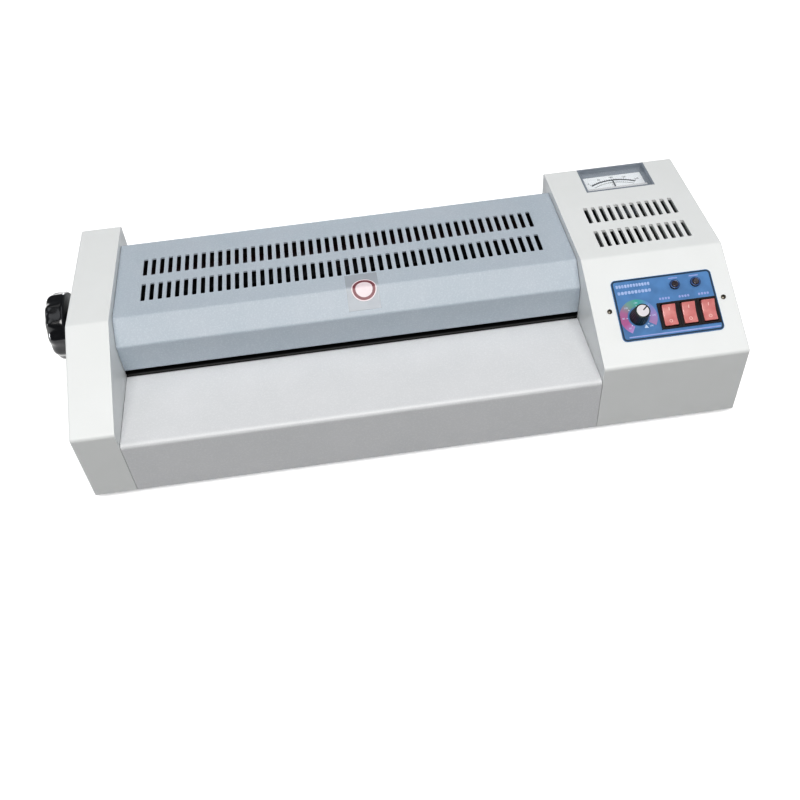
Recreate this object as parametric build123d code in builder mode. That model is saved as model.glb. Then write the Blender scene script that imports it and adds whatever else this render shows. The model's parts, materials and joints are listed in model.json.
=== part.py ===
from build123d import *

import math
import os

# Desktop four-roller laminator with a control housing on its right-hand end.
# Front faces -Y, +X runs to the right towards the controls, +Z is up.
# The origin is on the floor under the middle of the whole machine, hand wheel included.

os.makedirs("parts", exist_ok=True)

# Casing, lengths in millimetres and angles in degrees
case_length = 500.0
case_depth = 200.5
case_height = 102.0
foot_height = 6.0
left_cover_width = 32.4
housing_width = 110.0
moulded_wall = 2.5
cover_gap = 0.3
slope_run = 80.0
front_height = 62.8
slope_fold_radius = 5.0
front_fold_radius = 3.5
back_edge_radius = 3.0
side_edge_radius = 1.6

# Centre cover and the two trays between the end covers
cover_sheet = 1.5
cover_drop = 6.3
cover_bend = 1.2
chamfer_run = 16.6
chamfer_drop = 15.3
slot_to_nip = 51.0
slot_height = 4.5
rear_slot_height = 6.0
rear_tray_run = 18.5
lip_return = 6.0
tray_drop = 1.0
tray_wall = 2.0
tray_bend = 1.5
tray_tuck = 1.5
rear_tray_tuck = 6.0
tray_flange = 10.0
label_width = 25.0
label_offset = 178.0
label_top_run = 15.0
label_slope_run = 18.0
label_thickness = 0.3

# Ventilation slots
vent_length = 20.6
vent_width = 3.3
vent_corner = 0.8
vent_row_pitch = 31.0
vent_first_row = 116.4
bay_vent_pitch = 6.63
bay_vent_margin = 22.0
housing_vent_pitch = 6.3
housing_vent_margin = 20.0
housing_vent_first_row = 102.8
pan_vent_count = 16
pan_vent_pitch = 12.0

# Base pan and feet
pan_sheet = 1.5
pan_lift = 1.0
pan_flange = 12.0
foot_radius = 8.0
foot_top_radius = 9.0
foot_inset = 16.0
foot_screw_radius = 2.0
foot_screw_head_radius = 3.6
boss_size = 9.0
boss_height = 24.0
boss_inset = 34.0

# Side plates, tie bars and screws
plate_thickness = 2.0
plate_inset = 1.9
plate_flange = 14.0
plate_margin = 9.0
tie_bar_radius = 4.0
tie_thread_radius = 1.7
tie_thread_depth = 9.0
thread_end_gap = 1.0
tie_bar_inset = 18.0
tie_bar_corner = 13.5
front_bar_inset = 12.0
front_bar_drop = 8.0
screw_head_radius = 3.2
screw_head_height = 2.0
screw_head_rounding = 0.8
screw_radius = 1.5

# Rollers, as large as the height between the pan and the cover allows
pan_clearance = 3.0
cover_clearance = 1.8
rear_clearance = 9.25
roller_spacing = 7.5
nip_gap = 0.5
hot_teeth = 31
pull_teeth = 25
rubber_thickness = 3.0
rubber_margin = 8.0
core_margin = 6.0
journal_radius = 5.0
journal_end_gap = 2.0
running_clearance = 0.05
bush_radius = 8.0
bush_flange_radius = 10.0
bush_flange = 1.5
block_width = 16.0
block_cheek_width = 22.0
block_cheek = 1.8
block_play = 0.1
block_rise = 1.0
spring_radius = 2.4
spring_wire = 0.7
spring_turns = 4

# Heating shoes
shoe_gap = 1.75
shoe_thickness = 5.0
shoe_half_angle = 55.0
shoe_boss_width = 16.0
shoe_boss_height = 2.5
heater_radius = 2.5
heater_overhang = 3.0
heater_bridge = 2.25
cutout_radius = 8.0
cutout_height = 5.5
sensor_length = 14.0
sensor_width = 6.0
sensor_height = 1.4

# Guide plates
guide_sheet = 1.0
guide_end_gap = 13.0
guide_flange = 12.0
upper_guide_mouth = 7.0
upper_guide_end = 4.6
lower_guide_drop = 1.8
transfer_reach = 7.0

# Drive
gear_face = 7.0
gear_offset = 5.0
tooth_backlash = 0.25
tooth_tip = 0.95
tooth_root = 1.25
flank_steps = 4
pressure_angle = 20.0
idler_teeth = 20
pinion_teeth = 18
idler_stud_radius = 3.0
motor_radius = 25.0
motor_length = 30.0
motor_shaft_radius = 3.0
motor_boss_radius = 6.0
motor_shaft_depth = 10.0
motor_clearance = 1.25
motor_screw_pitch = 40.0
motor_screw_depth = 6.0
bracket_gap = 4.0
bracket_sheet = 2.0
bracket_width = 48.0
bracket_height = 46.0
spacer_radius = 4.0

# Hand wheel
wheel_radius = 27.0
wheel_reach = 24.6
wheel_width = 16.0
wheel_hub_radius = 11.0
wheel_gap = 1.5
wheel_edge_radius = 1.5
wheel_flutes = 12
flute_radius = 4.2
flute_depth = 2.2
wheel_cap_radius = 9.5
wheel_cap_thickness = 1.5
wheel_shaft_hole = 7.5

# Control plate on the slope
panel_left_margin = 18.0
panel_right_margin = 15.0
panel_length = 49.5
panel_corner = 3.5
panel_thickness = 0.8
panel_s = 45.5
panel_screw_gap = 5.1
panel_screw_s = 44.7
panel_screw_head = 2.2

# Temperature knob, midway between the plate's left edge and the switches
knob_s = 52.0
knob_radius = 7.0
knob_top_radius = 6.4
knob_height = 13.0
knob_gap = 0.5
knob_cap_radius = 5.25
knob_cap_thickness = 0.8
knob_cap_proud = 0.2
knob_bore_radius = 5.6
knob_bore_depth = 3.5
knob_stem_radius = 3.0
pot_radius = 8.0
pot_height = 9.0
pot_bush_radius = 3.6
pot_nut_radius = 5.0
pot_nut_height = 2.0
stem_depth = 8.0

# Rocker switches
switch_count = 3
switch_pitch = 15.0
switch_inset = 24.0
switch_s = 54.0
bezel_width = 14.8
bezel_length = 21.0
bezel_height = 1.2
switch_body_width = 13.6
switch_body_length = 19.0
switch_body_depth = 17.0
switch_fit = 0.1
rocker_width = 10.0
rocker_play = 0.3
rocker_reach = 8.1
rocker_rise = 3.6
rocker_dip = 2.4
rocker_keel = 5.0
rocker_sweep = 9.2
rocker_pivot_drop = 1.4
rocker_tilt = 8.0
rocker_pin_radius = 1.2
rocker_pin_length = 1.2
rocker_well = 8.0
blade_width = 4.8
blade_thickness = 0.8
blade_length = 7.0

# Pilot lamps
lamp_pitch = 15.9
lamp_inset = 21.35
lamp_s = 30.1
lamp_ring_radius = 3.75
lamp_ring_height = 1.5
lamp_body_radius = 3.1
lamp_body_depth = 12.0
lens_radius = 2.3
lens_proud = 0.6

# Temperature meter in the housing's top
meter_width = 57.3
meter_length = 33.4
meter_fit = 0.1
meter_depth = 16.0
meter_rim = 1.6
meter_recess = 8.0
meter_draft = 7.0
dial_thickness = 0.6
needle_length = 33.0
needle_width = 0.7
needle_height = 0.5
needle_lift = 1.0
needle_tail = 3.5
needle_hub_radius = 1.8
needle_pin_radius = 0.6
needle_pivot_gap = 14.0
needle_swing = 32.0
needle_slot_gap = 0.4
needle_shelf_margin = 5.0
window_thickness = 0.8
window_lift = 3.0

# Electrical parts in the housing
inlet_inset = 34.0
inlet_height = 34.0
inlet_width = 30.0
inlet_tall = 23.0
inlet_depth = 20.0
inlet_rim = 2.5
inlet_socket_depth = 15.0
inlet_corner = 3.0
inlet_pin_width = 4.0
inlet_pin_thickness = 2.0
inlet_pin_length = 13.0
inlet_pin_pitch = 7.0
inlet_pin_step = 2.0
board_width = 66.0
board_length = 40.0
board_thickness = 1.6
board_lift = 6.0
board_side_gap = 14.0
board_back_gap = 20.5
transformer_width = 26.0
transformer_length = 22.0
transformer_height = 20.0
relay_width = 15.0
relay_length = 12.0
relay_height = 14.0

# Places worked out from the dimensions above
case_left = (wheel_reach - case_length) / 2
case_right = case_left + case_length
case_front = -case_depth / 2
case_back = case_depth / 2
case_bottom = foot_height
case_top = case_bottom + case_height
bay_left = case_left + left_cover_width
bay_right = case_right - housing_width
bay_middle = (bay_left + bay_right) / 2
bay_length = bay_right - bay_left - 2 * cover_gap
bay_start = bay_left + cover_gap
fold_z = case_bottom + front_height
slope_y = case_front + slope_run
slope_angle = math.degrees(math.atan2(case_top - fold_z, slope_run))

pan_bottom = case_bottom + pan_lift
pan_top = pan_bottom + pan_sheet
cover_top = case_top - cover_drop
chamfer_z = cover_top - chamfer_drop
bay_back = case_back - rear_tray_run

left_plate_x = bay_left - moulded_wall - plate_inset - plate_thickness
right_plate_x = bay_right + moulded_wall + plate_inset
plate_span_start = left_plate_x + plate_thickness
plate_span = right_plate_x - plate_span_start

# The two hot rollers, their shoes and what lies on those fill the height inside the cover
shoe_height = shoe_gap + shoe_thickness + shoe_boss_height
stack_top = cover_top - cover_sheet - cover_clearance - sensor_height - shoe_height
stack_bottom = pan_top + pan_clearance + cutout_height + shoe_height
nip_z = (stack_top + stack_bottom) / 2
hot_distance = (stack_top - stack_bottom + nip_gap) / 2
gear_module = hot_distance / hot_teeth
pull_distance = gear_module * pull_teeth
hot_radius = (hot_distance - nip_gap) / 2
pull_radius = (pull_distance - nip_gap) / 2
tray_z = nip_z - tray_drop
lip_z = tray_z + slot_height
rear_lip_z = tray_z + rear_slot_height

# The pull rollers stand behind the rear slot's cover, the hot rollers in front of them
pull_y = bay_back - cover_sheet - rear_clearance - pull_radius
hot_y = pull_y - pull_radius - roller_spacing - hot_radius
slot_y = hot_y - slot_to_nip
chamfer_y = slot_y + chamfer_run
upper_hot = (hot_y, nip_z + hot_distance / 2)
lower_hot = (hot_y, nip_z - hot_distance / 2)
upper_pull = (pull_y, nip_z + pull_distance / 2)
lower_pull = (pull_y, nip_z - pull_distance / 2)

gear_x = right_plate_x + plate_thickness + gear_offset
bracket_x = gear_x + gear_face + bracket_gap
shaft_end_x = bracket_x - journal_end_gap
pinion_distance = gear_module * (hot_teeth + pinion_teeth) / 2
pinion_z = pan_top + motor_clearance + motor_radius
pinion_bearing = 180 + math.degrees(math.asin((lower_hot[1] - pinion_z) / pinion_distance))
pinion = (lower_hot[0] + pinion_distance * math.cos(math.radians(pinion_bearing)), pinion_z)

slope_plane = Plane(
    origin=(bay_right, slope_y, case_top),
    x_dir=(1, 0, 0),
    z_dir=(0, -math.sin(math.radians(slope_angle)), math.cos(math.radians(slope_angle))),
)
bezel_top = panel_thickness + bezel_height

# Places on the control plate, along the slope from the housing's left side
panel_width = housing_width - panel_left_margin - panel_right_margin
panel_x = panel_left_margin + panel_width / 2
panel_end = panel_left_margin + panel_width
switch_x = panel_end - switch_inset
switch_start = switch_x - (switch_count - 1) * switch_pitch / 2 - bezel_width / 2
lamp_x = panel_end - lamp_inset
knob_x = (panel_left_margin + switch_start) / 2


def inset(path, wall):
    """Moves an open path sideways to its right by a wall, with mitred corners."""
    points = [Vector(*point) for point in path]
    steps = [end - start for start, end in zip(points, points[1:])]
    normals = [Vector(step.Y, -step.X).normalized() for step in steps]
    before = [normals[0]] + normals
    after = normals + [normals[-1]]
    moved = [
        point + (one + two) * (wall / (1 + one.dot(two)))
        for point, one, two in zip(points, before, after)
    ]
    return [(point.X, point.Y) for point in moved]


def turns_right(first, corner, last):
    """Tells whether a path turns to its right at a corner."""
    cross = (corner[0] - first[0]) * (last[1] - corner[1])
    cross -= (corner[1] - first[1]) * (last[0] - corner[0])
    return cross < 0


def bent_strip(path, wall, bend):
    """Draws the closed outline of a bent sheet, with its wall on the path's right."""
    near = [0.0]
    far = [0.0]
    for first, corner, last in zip(path, path[1:], path[2:]):
        right = turns_right(first, corner, last)
        near.append(bend + wall if right else bend)
        far.append(bend if right else bend + wall)
    near.append(0.0)
    far.append(0.0)
    outline = path + inset(path, wall)[::-1]
    return FilletPolyline(*outline, radius=near + far[::-1], close=True)


def slope_side_plane(offset_x, offset_s, depth, tilt=0.0):
    """Plane across the slope at a point of it, with its normal along +X."""
    point = slope_plane.from_local_coords((offset_x, -offset_s, depth))
    turn = math.radians(slope_angle + tilt)
    return Plane(origin=point, x_dir=(0, math.cos(turn), math.sin(turn)), z_dir=(1, 0, 0))


def mesh_phase(teeth_a, phase_a, teeth_b, bearing):
    """Angle of a tooth of gear b that lets it mesh with gear a, which lies at a bearing from it."""
    share = teeth_a * (bearing - phase_a) / 360
    return bearing + 180 - (0.5 - share) * 360 / teeth_b


def gear_outline(teeth, centre, phase):
    """Points of an involute spur gear around its centre, tooth by tooth."""
    pitch_radius = gear_module * teeth / 2
    base_radius = pitch_radius * math.cos(math.radians(pressure_angle))
    root_radius = pitch_radius - tooth_root * gear_module
    tip_radius = pitch_radius + tooth_tip * gear_module
    start_radius = max(base_radius, root_radius)
    half_tooth = math.pi / (2 * teeth) - tooth_backlash / (2 * pitch_radius)

    def involute(radius):
        angle = math.acos(min(1.0, base_radius / radius))
        return math.tan(angle) - angle

    radii = [
        start_radius + (tip_radius - start_radius) * step / flank_steps
        for step in range(flank_steps + 1)
    ]
    half_angles = [half_tooth + involute(pitch_radius) - involute(radius) for radius in radii]
    flank = list(zip(radii, half_angles))
    if root_radius < base_radius:
        flank.insert(0, (root_radius, half_angles[0]))
    tooth = [(radius, -angle) for radius, angle in flank]
    tooth += [(radius, angle) for radius, angle in reversed(flank)]
    points = []
    for index in range(teeth):
        turn = math.radians(phase) + 2 * math.pi * index / teeth
        points += [
            (centre[0] + radius * math.cos(turn + angle), centre[1] + radius * math.sin(turn + angle))
            for radius, angle in tooth
        ]
    return points


# Outer line of an end cover, from the front edge up, over and down the back
end_path = [
    (case_front, case_bottom),
    (case_front, fold_z),
    (slope_y, case_top),
    (case_back, case_top),
    (case_back, case_bottom),
]
end_radii = [0.0, front_fold_radius, slope_fold_radius, back_edge_radius, 0.0]
end_inner_radii = [max(radius - moulded_wall, 0.0) for radius in end_radii]

# Window in the inner walls, under the trays and inside the centre cover
tray_underside = tray_z - tray_wall
cover_line = [
    (slot_y, tray_underside),
    (slot_y, chamfer_z),
    (chamfer_y, cover_top),
    (bay_back, cover_top),
    (bay_back, tray_underside),
]
window_path = [
    (case_front + moulded_wall, case_bottom),
    (case_front + moulded_wall, tray_underside),
    *inset(cover_line, cover_sheet),
    (case_back - moulded_wall, tray_underside),
    (case_back - moulded_wall, case_bottom),
]


def end_shell(left, width, outer_side, inner_wall_x):
    """Moulded end cover, open below, with a window in its inner wall for the mechanism."""
    with BuildPart() as shell:
        with BuildSketch(Plane.YZ.offset(left)):
            with BuildLine():
                FilletPolyline(*end_path, radius=end_radii, close=True)
            make_face()
        extrude(amount=width)
        outer_face = shell.faces().sort_by(Axis.X)[outer_side]
        rim = outer_face.edges().filter_by(lambda edge: edge.center().Z > case_bottom + side_edge_radius)
        fillet(rim, radius=side_edge_radius)
        with BuildSketch(Plane.YZ.offset(left + moulded_wall)):
            with BuildLine():
                FilletPolyline(*inset(end_path, moulded_wall), radius=end_inner_radii, close=True)
            make_face()
        extrude(amount=width - 2 * moulded_wall, mode=Mode.SUBTRACT)
        with BuildSketch(Plane.YZ.offset(inner_wall_x)):
            with BuildLine():
                Polyline(*window_path, close=True)
            make_face()
        extrude(amount=moulded_wall, mode=Mode.SUBTRACT)
    return shell.part


def boss_places(side_x):
    """Centres of the two screw bosses beside the side wall of an end cover."""
    return [(side_x, case_front + boss_inset), (side_x, case_back - boss_inset)]


left_boss_x = case_left + moulded_wall + boss_size / 2
right_boss_x = case_right - moulded_wall - boss_size / 2

# Left end cover
with BuildPart() as left_end_cover:
    add(end_shell(case_left, left_cover_width, 0, bay_left - moulded_wall))
    with BuildSketch(Plane.YZ.offset(case_left)):
        with Locations((upper_hot[0], upper_hot[1] + block_rise / 2)):
            Circle(wheel_shaft_hole)
    extrude(amount=moulded_wall, mode=Mode.SUBTRACT)
    with BuildSketch(Plane.XY.offset(pan_top)):
        with Locations(*boss_places(left_boss_x)):
            Rectangle(boss_size, boss_size)
            Circle(screw_radius, mode=Mode.SUBTRACT)
    extrude(amount=boss_height)
left_end_cover.part.label = "left_end_cover"

# Openings in the slope of the control housing
switch_opening_width = (switch_count - 1) * switch_pitch + switch_body_width + 2 * switch_fit
switch_opening_length = switch_body_length + 2 * switch_fit


def panel_holes():
    """Holes for the switches, the potentiometer's bush and the lamps, in the plane of the slope."""
    with Locations((switch_x, -switch_s)):
        Rectangle(switch_opening_width, switch_opening_length)
    with Locations((knob_x, -knob_s)):
        Circle(pot_bush_radius)
    with Locations((lamp_x, -lamp_s)):
        with GridLocations(lamp_pitch, 0, 2, 1):
            Circle(lamp_body_radius)


meter_back = case_back - moulded_wall
meter_front = meter_back - meter_length
meter_centre = (bay_right + panel_x, (meter_front + meter_back) / 2)
inlet_centre = (case_right - inlet_inset, case_bottom + inlet_height)
panel_screw_places = [
    (panel_left_margin - panel_screw_gap, -panel_screw_s),
    (panel_end + panel_screw_gap, -panel_screw_s),
]
housing_vent_count = int((housing_width - 2 * housing_vent_margin) / housing_vent_pitch) + 1
housing_vent_x = (bay_right + case_right) / 2
housing_vent_y = case_front + housing_vent_first_row + vent_row_pitch / 2

# Control housing
with BuildPart() as control_housing:
    add(end_shell(bay_right, housing_width, -1, bay_right))
    with BuildSketch(Plane.XY.offset(case_top)):
        with Locations((housing_vent_x, housing_vent_y)):
            with GridLocations(housing_vent_pitch, vent_row_pitch, housing_vent_count, 2):
                RectangleRounded(vent_width, vent_length, vent_corner)
    extrude(amount=-moulded_wall, mode=Mode.SUBTRACT)
    with BuildSketch(Plane.XY.offset(case_top)):
        with Locations(meter_centre):
            Rectangle(meter_width, meter_length)
    extrude(amount=-moulded_wall - back_edge_radius, mode=Mode.SUBTRACT)
    with BuildSketch(slope_plane):
        panel_holes()
        with Locations(*panel_screw_places):
            Circle(screw_radius)
    extrude(amount=-moulded_wall, mode=Mode.SUBTRACT)
    with BuildSketch(Plane.XZ.offset(-case_back)):
        with Locations(inlet_centre):
            RectangleRounded(inlet_width, inlet_tall, inlet_corner)
    extrude(amount=moulded_wall, mode=Mode.SUBTRACT)
    with BuildSketch(Plane.XY.offset(pan_top)):
        with Locations(*boss_places(right_boss_x)):
            Rectangle(boss_size, boss_size)
            Circle(screw_radius, mode=Mode.SUBTRACT)
    extrude(amount=boss_height)
control_housing.part.label = "control_housing"

# Centre cover, a bent sheet with a folded lip over each slot
centre_cover_path = [
    (slot_y + lip_return, lip_z),
    (slot_y, lip_z),
    (slot_y, chamfer_z),
    (chamfer_y, cover_top),
    (bay_back, cover_top),
    (bay_back, rear_lip_z),
    (bay_back - lip_return, rear_lip_z),
]
bay_vent_count = int((bay_right - bay_left - 2 * bay_vent_margin) / bay_vent_pitch) + 1
bay_vent_x = bay_left + bay_vent_margin + (bay_vent_count - 1) * bay_vent_pitch / 2
bay_vent_y = case_front + vent_first_row + vent_row_pitch / 2

with BuildPart() as centre_cover:
    with BuildSketch(Plane.YZ.offset(bay_start)):
        with BuildLine():
            bent_strip(centre_cover_path, cover_sheet, cover_bend)
        make_face()
    extrude(amount=bay_length)
    with BuildSketch(Plane.XY.offset(cover_top)):
        with Locations((bay_vent_x, bay_vent_y)):
            with GridLocations(bay_vent_pitch, vent_row_pitch, bay_vent_count, 2):
                RectangleRounded(vent_width, vent_length, vent_corner)
    extrude(amount=-cover_sheet, mode=Mode.SUBTRACT)
centre_cover.part.label = "centre_cover"

# Front tray and rear tray
front_tray_end = slot_y + tray_tuck
rear_tray_end = bay_back - rear_tray_tuck
front_tray_path = [
    (case_front, case_bottom),
    (case_front, tray_z),
    (front_tray_end, tray_z),
    (front_tray_end, tray_z - tray_flange),
]
rear_tray_path = [
    (rear_tray_end, tray_z - tray_flange),
    (rear_tray_end, tray_z),
    (case_back, tray_z),
    (case_back, case_bottom),
]


def bay_sheet(path, wall, bend):
    """Bent sheet that fills the bay between the end covers."""
    with BuildPart() as piece:
        with BuildSketch(Plane.YZ.offset(bay_start)):
            with BuildLine():
                bent_strip(path, wall, bend)
            make_face()
        extrude(amount=bay_length)
    return piece


front_tray = bay_sheet(front_tray_path, tray_wall, tray_bend)
front_tray.part.label = "front_tray"
rear_tray = bay_sheet(rear_tray_path, tray_wall, tray_bend)
rear_tray.part.label = "rear_tray"

# Blank label over the fold of the centre cover
chamfer_length = math.hypot(chamfer_run, chamfer_drop)
label_path = [
    (chamfer_y + label_top_run, cover_top),
    (chamfer_y, cover_top),
    (
        chamfer_y - label_slope_run * chamfer_run / chamfer_length,
        cover_top - label_slope_run * chamfer_drop / chamfer_length,
    ),
]
with BuildPart() as blank_label:
    with BuildSketch(Plane.YZ.offset(bay_left + label_offset)):
        with BuildLine():
            bent_strip(label_path, label_thickness, cover_bend + cover_sheet)
        make_face()
    extrude(amount=label_width)
blank_label.part.label = "blank_label"

# Base pan
pan_left = case_left + moulded_wall + cover_gap
pan_right = case_right - moulded_wall - cover_gap
pan_front = case_front + moulded_wall + cover_gap
pan_back = case_back - moulded_wall - cover_gap
pan_path = [
    (pan_back, pan_bottom + pan_flange),
    (pan_back, pan_bottom),
    (pan_front, pan_bottom),
    (pan_front, pan_bottom + pan_flange),
]
foot_places = [
    (x, y)
    for x in (case_left + foot_inset, case_right - foot_inset)
    for y in (case_front + foot_inset, case_back - foot_inset)
]
boss_screw_places = boss_places(left_boss_x) + boss_places(right_boss_x)
plate_screw_y = (case_front + boss_inset, case_back - boss_inset)
left_plate_screw_x = left_plate_x + plate_thickness + plate_flange / 2
right_plate_screw_x = right_plate_x - plate_flange / 2
plate_screw_places = [(x, y) for x in (left_plate_screw_x, right_plate_screw_x) for y in plate_screw_y]

with BuildPart() as base_pan:
    with BuildSketch(Plane.YZ.offset(pan_left)):
        with BuildLine():
            bent_strip(pan_path, pan_sheet, cover_bend)
        make_face()
    extrude(amount=pan_right - pan_left)
    with BuildSketch(Plane.XY.offset(pan_bottom)):
        with Locations(*foot_places):
            Circle(foot_screw_radius)
        with Locations(*boss_screw_places, *plate_screw_places):
            Circle(screw_radius)
        with Locations((bay_middle, hot_y)):
            with GridLocations(pan_vent_pitch, vent_row_pitch, pan_vent_count, 2):
                RectangleRounded(vent_width, vent_length, vent_corner)
    extrude(amount=pan_sheet, mode=Mode.SUBTRACT)
base_pan.part.label = "base_pan"

# Rubber feet with their counterbored screw holes
foot_taper = math.degrees(math.atan2(foot_top_radius - foot_radius, pan_bottom))
with BuildPart() as feet:
    with BuildSketch(Plane.XY.offset(pan_bottom)):
        with Locations(*foot_places):
            Circle(foot_top_radius)
    extrude(amount=-pan_bottom, taper=foot_taper)
    with BuildSketch():
        with Locations(*foot_places):
            Circle(foot_screw_radius)
    extrude(amount=pan_bottom, mode=Mode.SUBTRACT)
    with BuildSketch():
        with Locations(*foot_places):
            Circle(foot_screw_head_radius)
    extrude(amount=foot_height / 2, mode=Mode.SUBTRACT)
feet.part.label = "feet"


def screw_set(plane, places, radius, head_radius, head_height, length):
    """Pan-headed screws at places of a plane, with their shanks against its normal."""
    rounding = min(screw_head_rounding, head_height / 2 - running_clearance)
    with BuildPart() as screws:
        with BuildSketch(plane):
            with Locations(*places):
                Circle(head_radius)
        extrude(amount=head_height)
        rims = screws.edges().filter_by(
            lambda edge: plane.to_local_coords(edge.center()).Z > head_height / 2
            and edge.geom_type == GeomType.CIRCLE
        )
        fillet(rims, radius=rounding)
        with BuildSketch(plane):
            with Locations(*places):
                Circle(radius)
        extrude(amount=-length)
    return screws.part


def underside(height):
    """Plane that faces down at a height."""
    return Plane(origin=(0, 0, height), x_dir=(1, 0, 0), z_dir=(0, 0, -1))


def seen_from_below(places):
    """Places on the floor plan as a plane that faces down counts them."""
    return [(x, -y) for x, y in places]


# Screws of the casing: in the feet, up into the end covers, and beside the control plate
foot_screw_start = foot_height / 2
foot_screw_length = pan_top - foot_screw_start + foot_screw_radius
with BuildPart() as case_screws:
    add(
        screw_set(
            underside(foot_screw_start),
            seen_from_below(foot_places),
            foot_screw_radius,
            foot_screw_head_radius - cover_gap,
            screw_head_height,
            foot_screw_length,
        )
    )
    add(
        screw_set(
            underside(pan_bottom),
            seen_from_below(boss_screw_places),
            screw_radius,
            screw_head_radius,
            pan_lift,
            pan_sheet + boss_height / 2,
        )
    )
    add(
        screw_set(
            slope_plane,
            panel_screw_places,
            screw_radius,
            panel_screw_head,
            screw_radius,
            moulded_wall + boss_size / 2,
        )
    )
case_screws.part.label = "case_screws"

# Places of the bars, shoes and gears on the side plates
plate_top = cover_top - cover_sheet
plate_step = plate_margin / 2
plate_outline = [
    (case_front + plate_margin, pan_top),
    (case_front + plate_margin, tray_z - plate_margin),
    (slot_y + plate_step, tray_z - plate_margin),
    (slot_y + plate_step, chamfer_z - plate_step),
    (chamfer_y + plate_step, plate_top),
    (bay_back - plate_step, plate_top),
    (bay_back - plate_step, tray_z - plate_margin),
    (case_back - plate_margin, tray_z - plate_margin),
    (case_back - plate_margin, pan_top),
]
tie_bar_places = [
    (slot_y - tie_bar_inset, case_bottom + tie_bar_inset),
    (bay_back - plate_margin, case_bottom + tie_bar_inset),
    (slot_y + front_bar_inset, chamfer_z - front_bar_drop),
    (bay_back - tie_bar_corner, cover_top - tie_bar_corner),
]
shoe_inner = hot_radius + shoe_gap
shoe_outer = shoe_inner + shoe_thickness
shoe_boss_top = hot_radius + shoe_height
heater_distance = (shoe_inner + shoe_boss_top) / 2
upper_heater = (hot_y, upper_hot[1] + heater_distance)
lower_heater = (hot_y, lower_hot[1] - heater_distance)
spring_length = heater_distance - heater_radius - block_width / 2 - heater_bridge
block_slot_height = block_width + spring_length

# The idler meshes with both lower gears, from below the line between them
idler_hot_distance = gear_module * (hot_teeth + idler_teeth) / 2
idler_pull_distance = gear_module * (pull_teeth + idler_teeth) / 2
axis_line = Vector(lower_pull[0] - lower_hot[0], lower_pull[1] - lower_hot[1])
idler_along = (idler_hot_distance**2 - idler_pull_distance**2 + axis_line.length**2) / (2 * axis_line.length)
idler_down = math.sqrt(idler_hot_distance**2 - idler_along**2)
axis_unit = axis_line.normalized()
idler = (
    lower_hot[0] + axis_unit.X * idler_along + axis_unit.Y * idler_down,
    lower_hot[1] + axis_unit.Y * idler_along - axis_unit.X * idler_down,
)


def side_plate(left, flange_left):
    """Pierced side plate with a flange folded over the bay at its top and its foot."""
    flange_x = flange_left + plate_flange / 2
    with BuildPart() as plate:
        with BuildSketch(Plane.YZ.offset(left)):
            with BuildLine():
                Polyline(*plate_outline, close=True)
            make_face()
            with Locations(lower_hot, lower_pull):
                Circle(bush_radius, mode=Mode.SUBTRACT)
            with Locations(*tie_bar_places):
                Circle(tie_thread_radius, mode=Mode.SUBTRACT)
            with Locations(upper_heater, lower_heater):
                Circle(heater_radius, mode=Mode.SUBTRACT)
            for axis in (upper_hot, upper_pull):
                with Locations((axis[0], axis[1] + (block_slot_height - block_width) / 2)):
                    Rectangle(block_width, block_slot_height, mode=Mode.SUBTRACT)
        extrude(amount=plate_thickness)
        with BuildSketch(Plane.XY.offset(pan_top)):
            with Locations((flange_x, 0)):
                Rectangle(plate_flange, case_depth - 2 * plate_margin)
            with Locations(*[(flange_x, y) for y in plate_screw_y]):
                Circle(screw_radius, mode=Mode.SUBTRACT)
        extrude(amount=plate_thickness)
        with BuildSketch(Plane.XY.offset(plate_top)):
            with Locations((flange_x, (chamfer_y + bay_back) / 2)):
                Rectangle(plate_flange, bay_back - chamfer_y - 2 * plate_step)
        extrude(amount=-plate_thickness)
    return plate


left_side_plate = side_plate(left_plate_x, left_plate_x + plate_thickness)
left_side_plate.part.label = "left_side_plate"

# Right side plate, which also holds the idler's stud
right_plate_face = right_plate_x + plate_thickness
with BuildPart() as right_side_plate:
    add(side_plate(right_plate_x, right_plate_x - plate_flange).part)
    with BuildSketch(Plane.YZ.offset(right_plate_face)):
        with Locations(idler):
            Circle(idler_stud_radius + plate_thickness)
    extrude(amount=gear_offset - cover_gap)
    with BuildSketch(Plane.YZ.offset(right_plate_face)):
        with Locations(idler):
            Circle(idler_stud_radius)
    extrude(amount=gear_offset + gear_face + plate_thickness)
right_side_plate.part.label = "right_side_plate"

# Tie bars with a threaded hole in each end
with BuildPart() as tie_bars:
    with BuildSketch(Plane.YZ.offset(plate_span_start)):
        with Locations(*tie_bar_places):
            Circle(tie_bar_radius)
    extrude(amount=plate_span)
    with BuildSketch(Plane.YZ.offset(plate_span_start)):
        with Locations(*tie_bar_places):
            Circle(tie_thread_radius)
    extrude(amount=tie_thread_depth, mode=Mode.SUBTRACT)
    with BuildSketch(Plane.YZ.offset(right_plate_x)):
        with Locations(*tie_bar_places):
            Circle(tie_thread_radius)
    extrude(amount=-tie_thread_depth, mode=Mode.SUBTRACT)
tie_bars.part.label = "tie_bars"

# Motor places, needed by its screws, its bracket and its pinion
motor_start = bracket_x + bracket_sheet
motor_screw_places = [
    (pinion[0], pinion[1] + motor_screw_pitch / 2),
    (pinion[0], pinion[1] - motor_screw_pitch / 2),
]


def facing_left(x):
    """Plane across the machine at x that faces -X, with its own x along -Y."""
    return Plane(origin=(x, 0, 0), x_dir=(0, -1, 0), z_dir=(-1, 0, 0))


def seen_from_left(places):
    """Places across the machine as a plane that faces left counts them."""
    return [(-y, z) for y, z in places]


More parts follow.
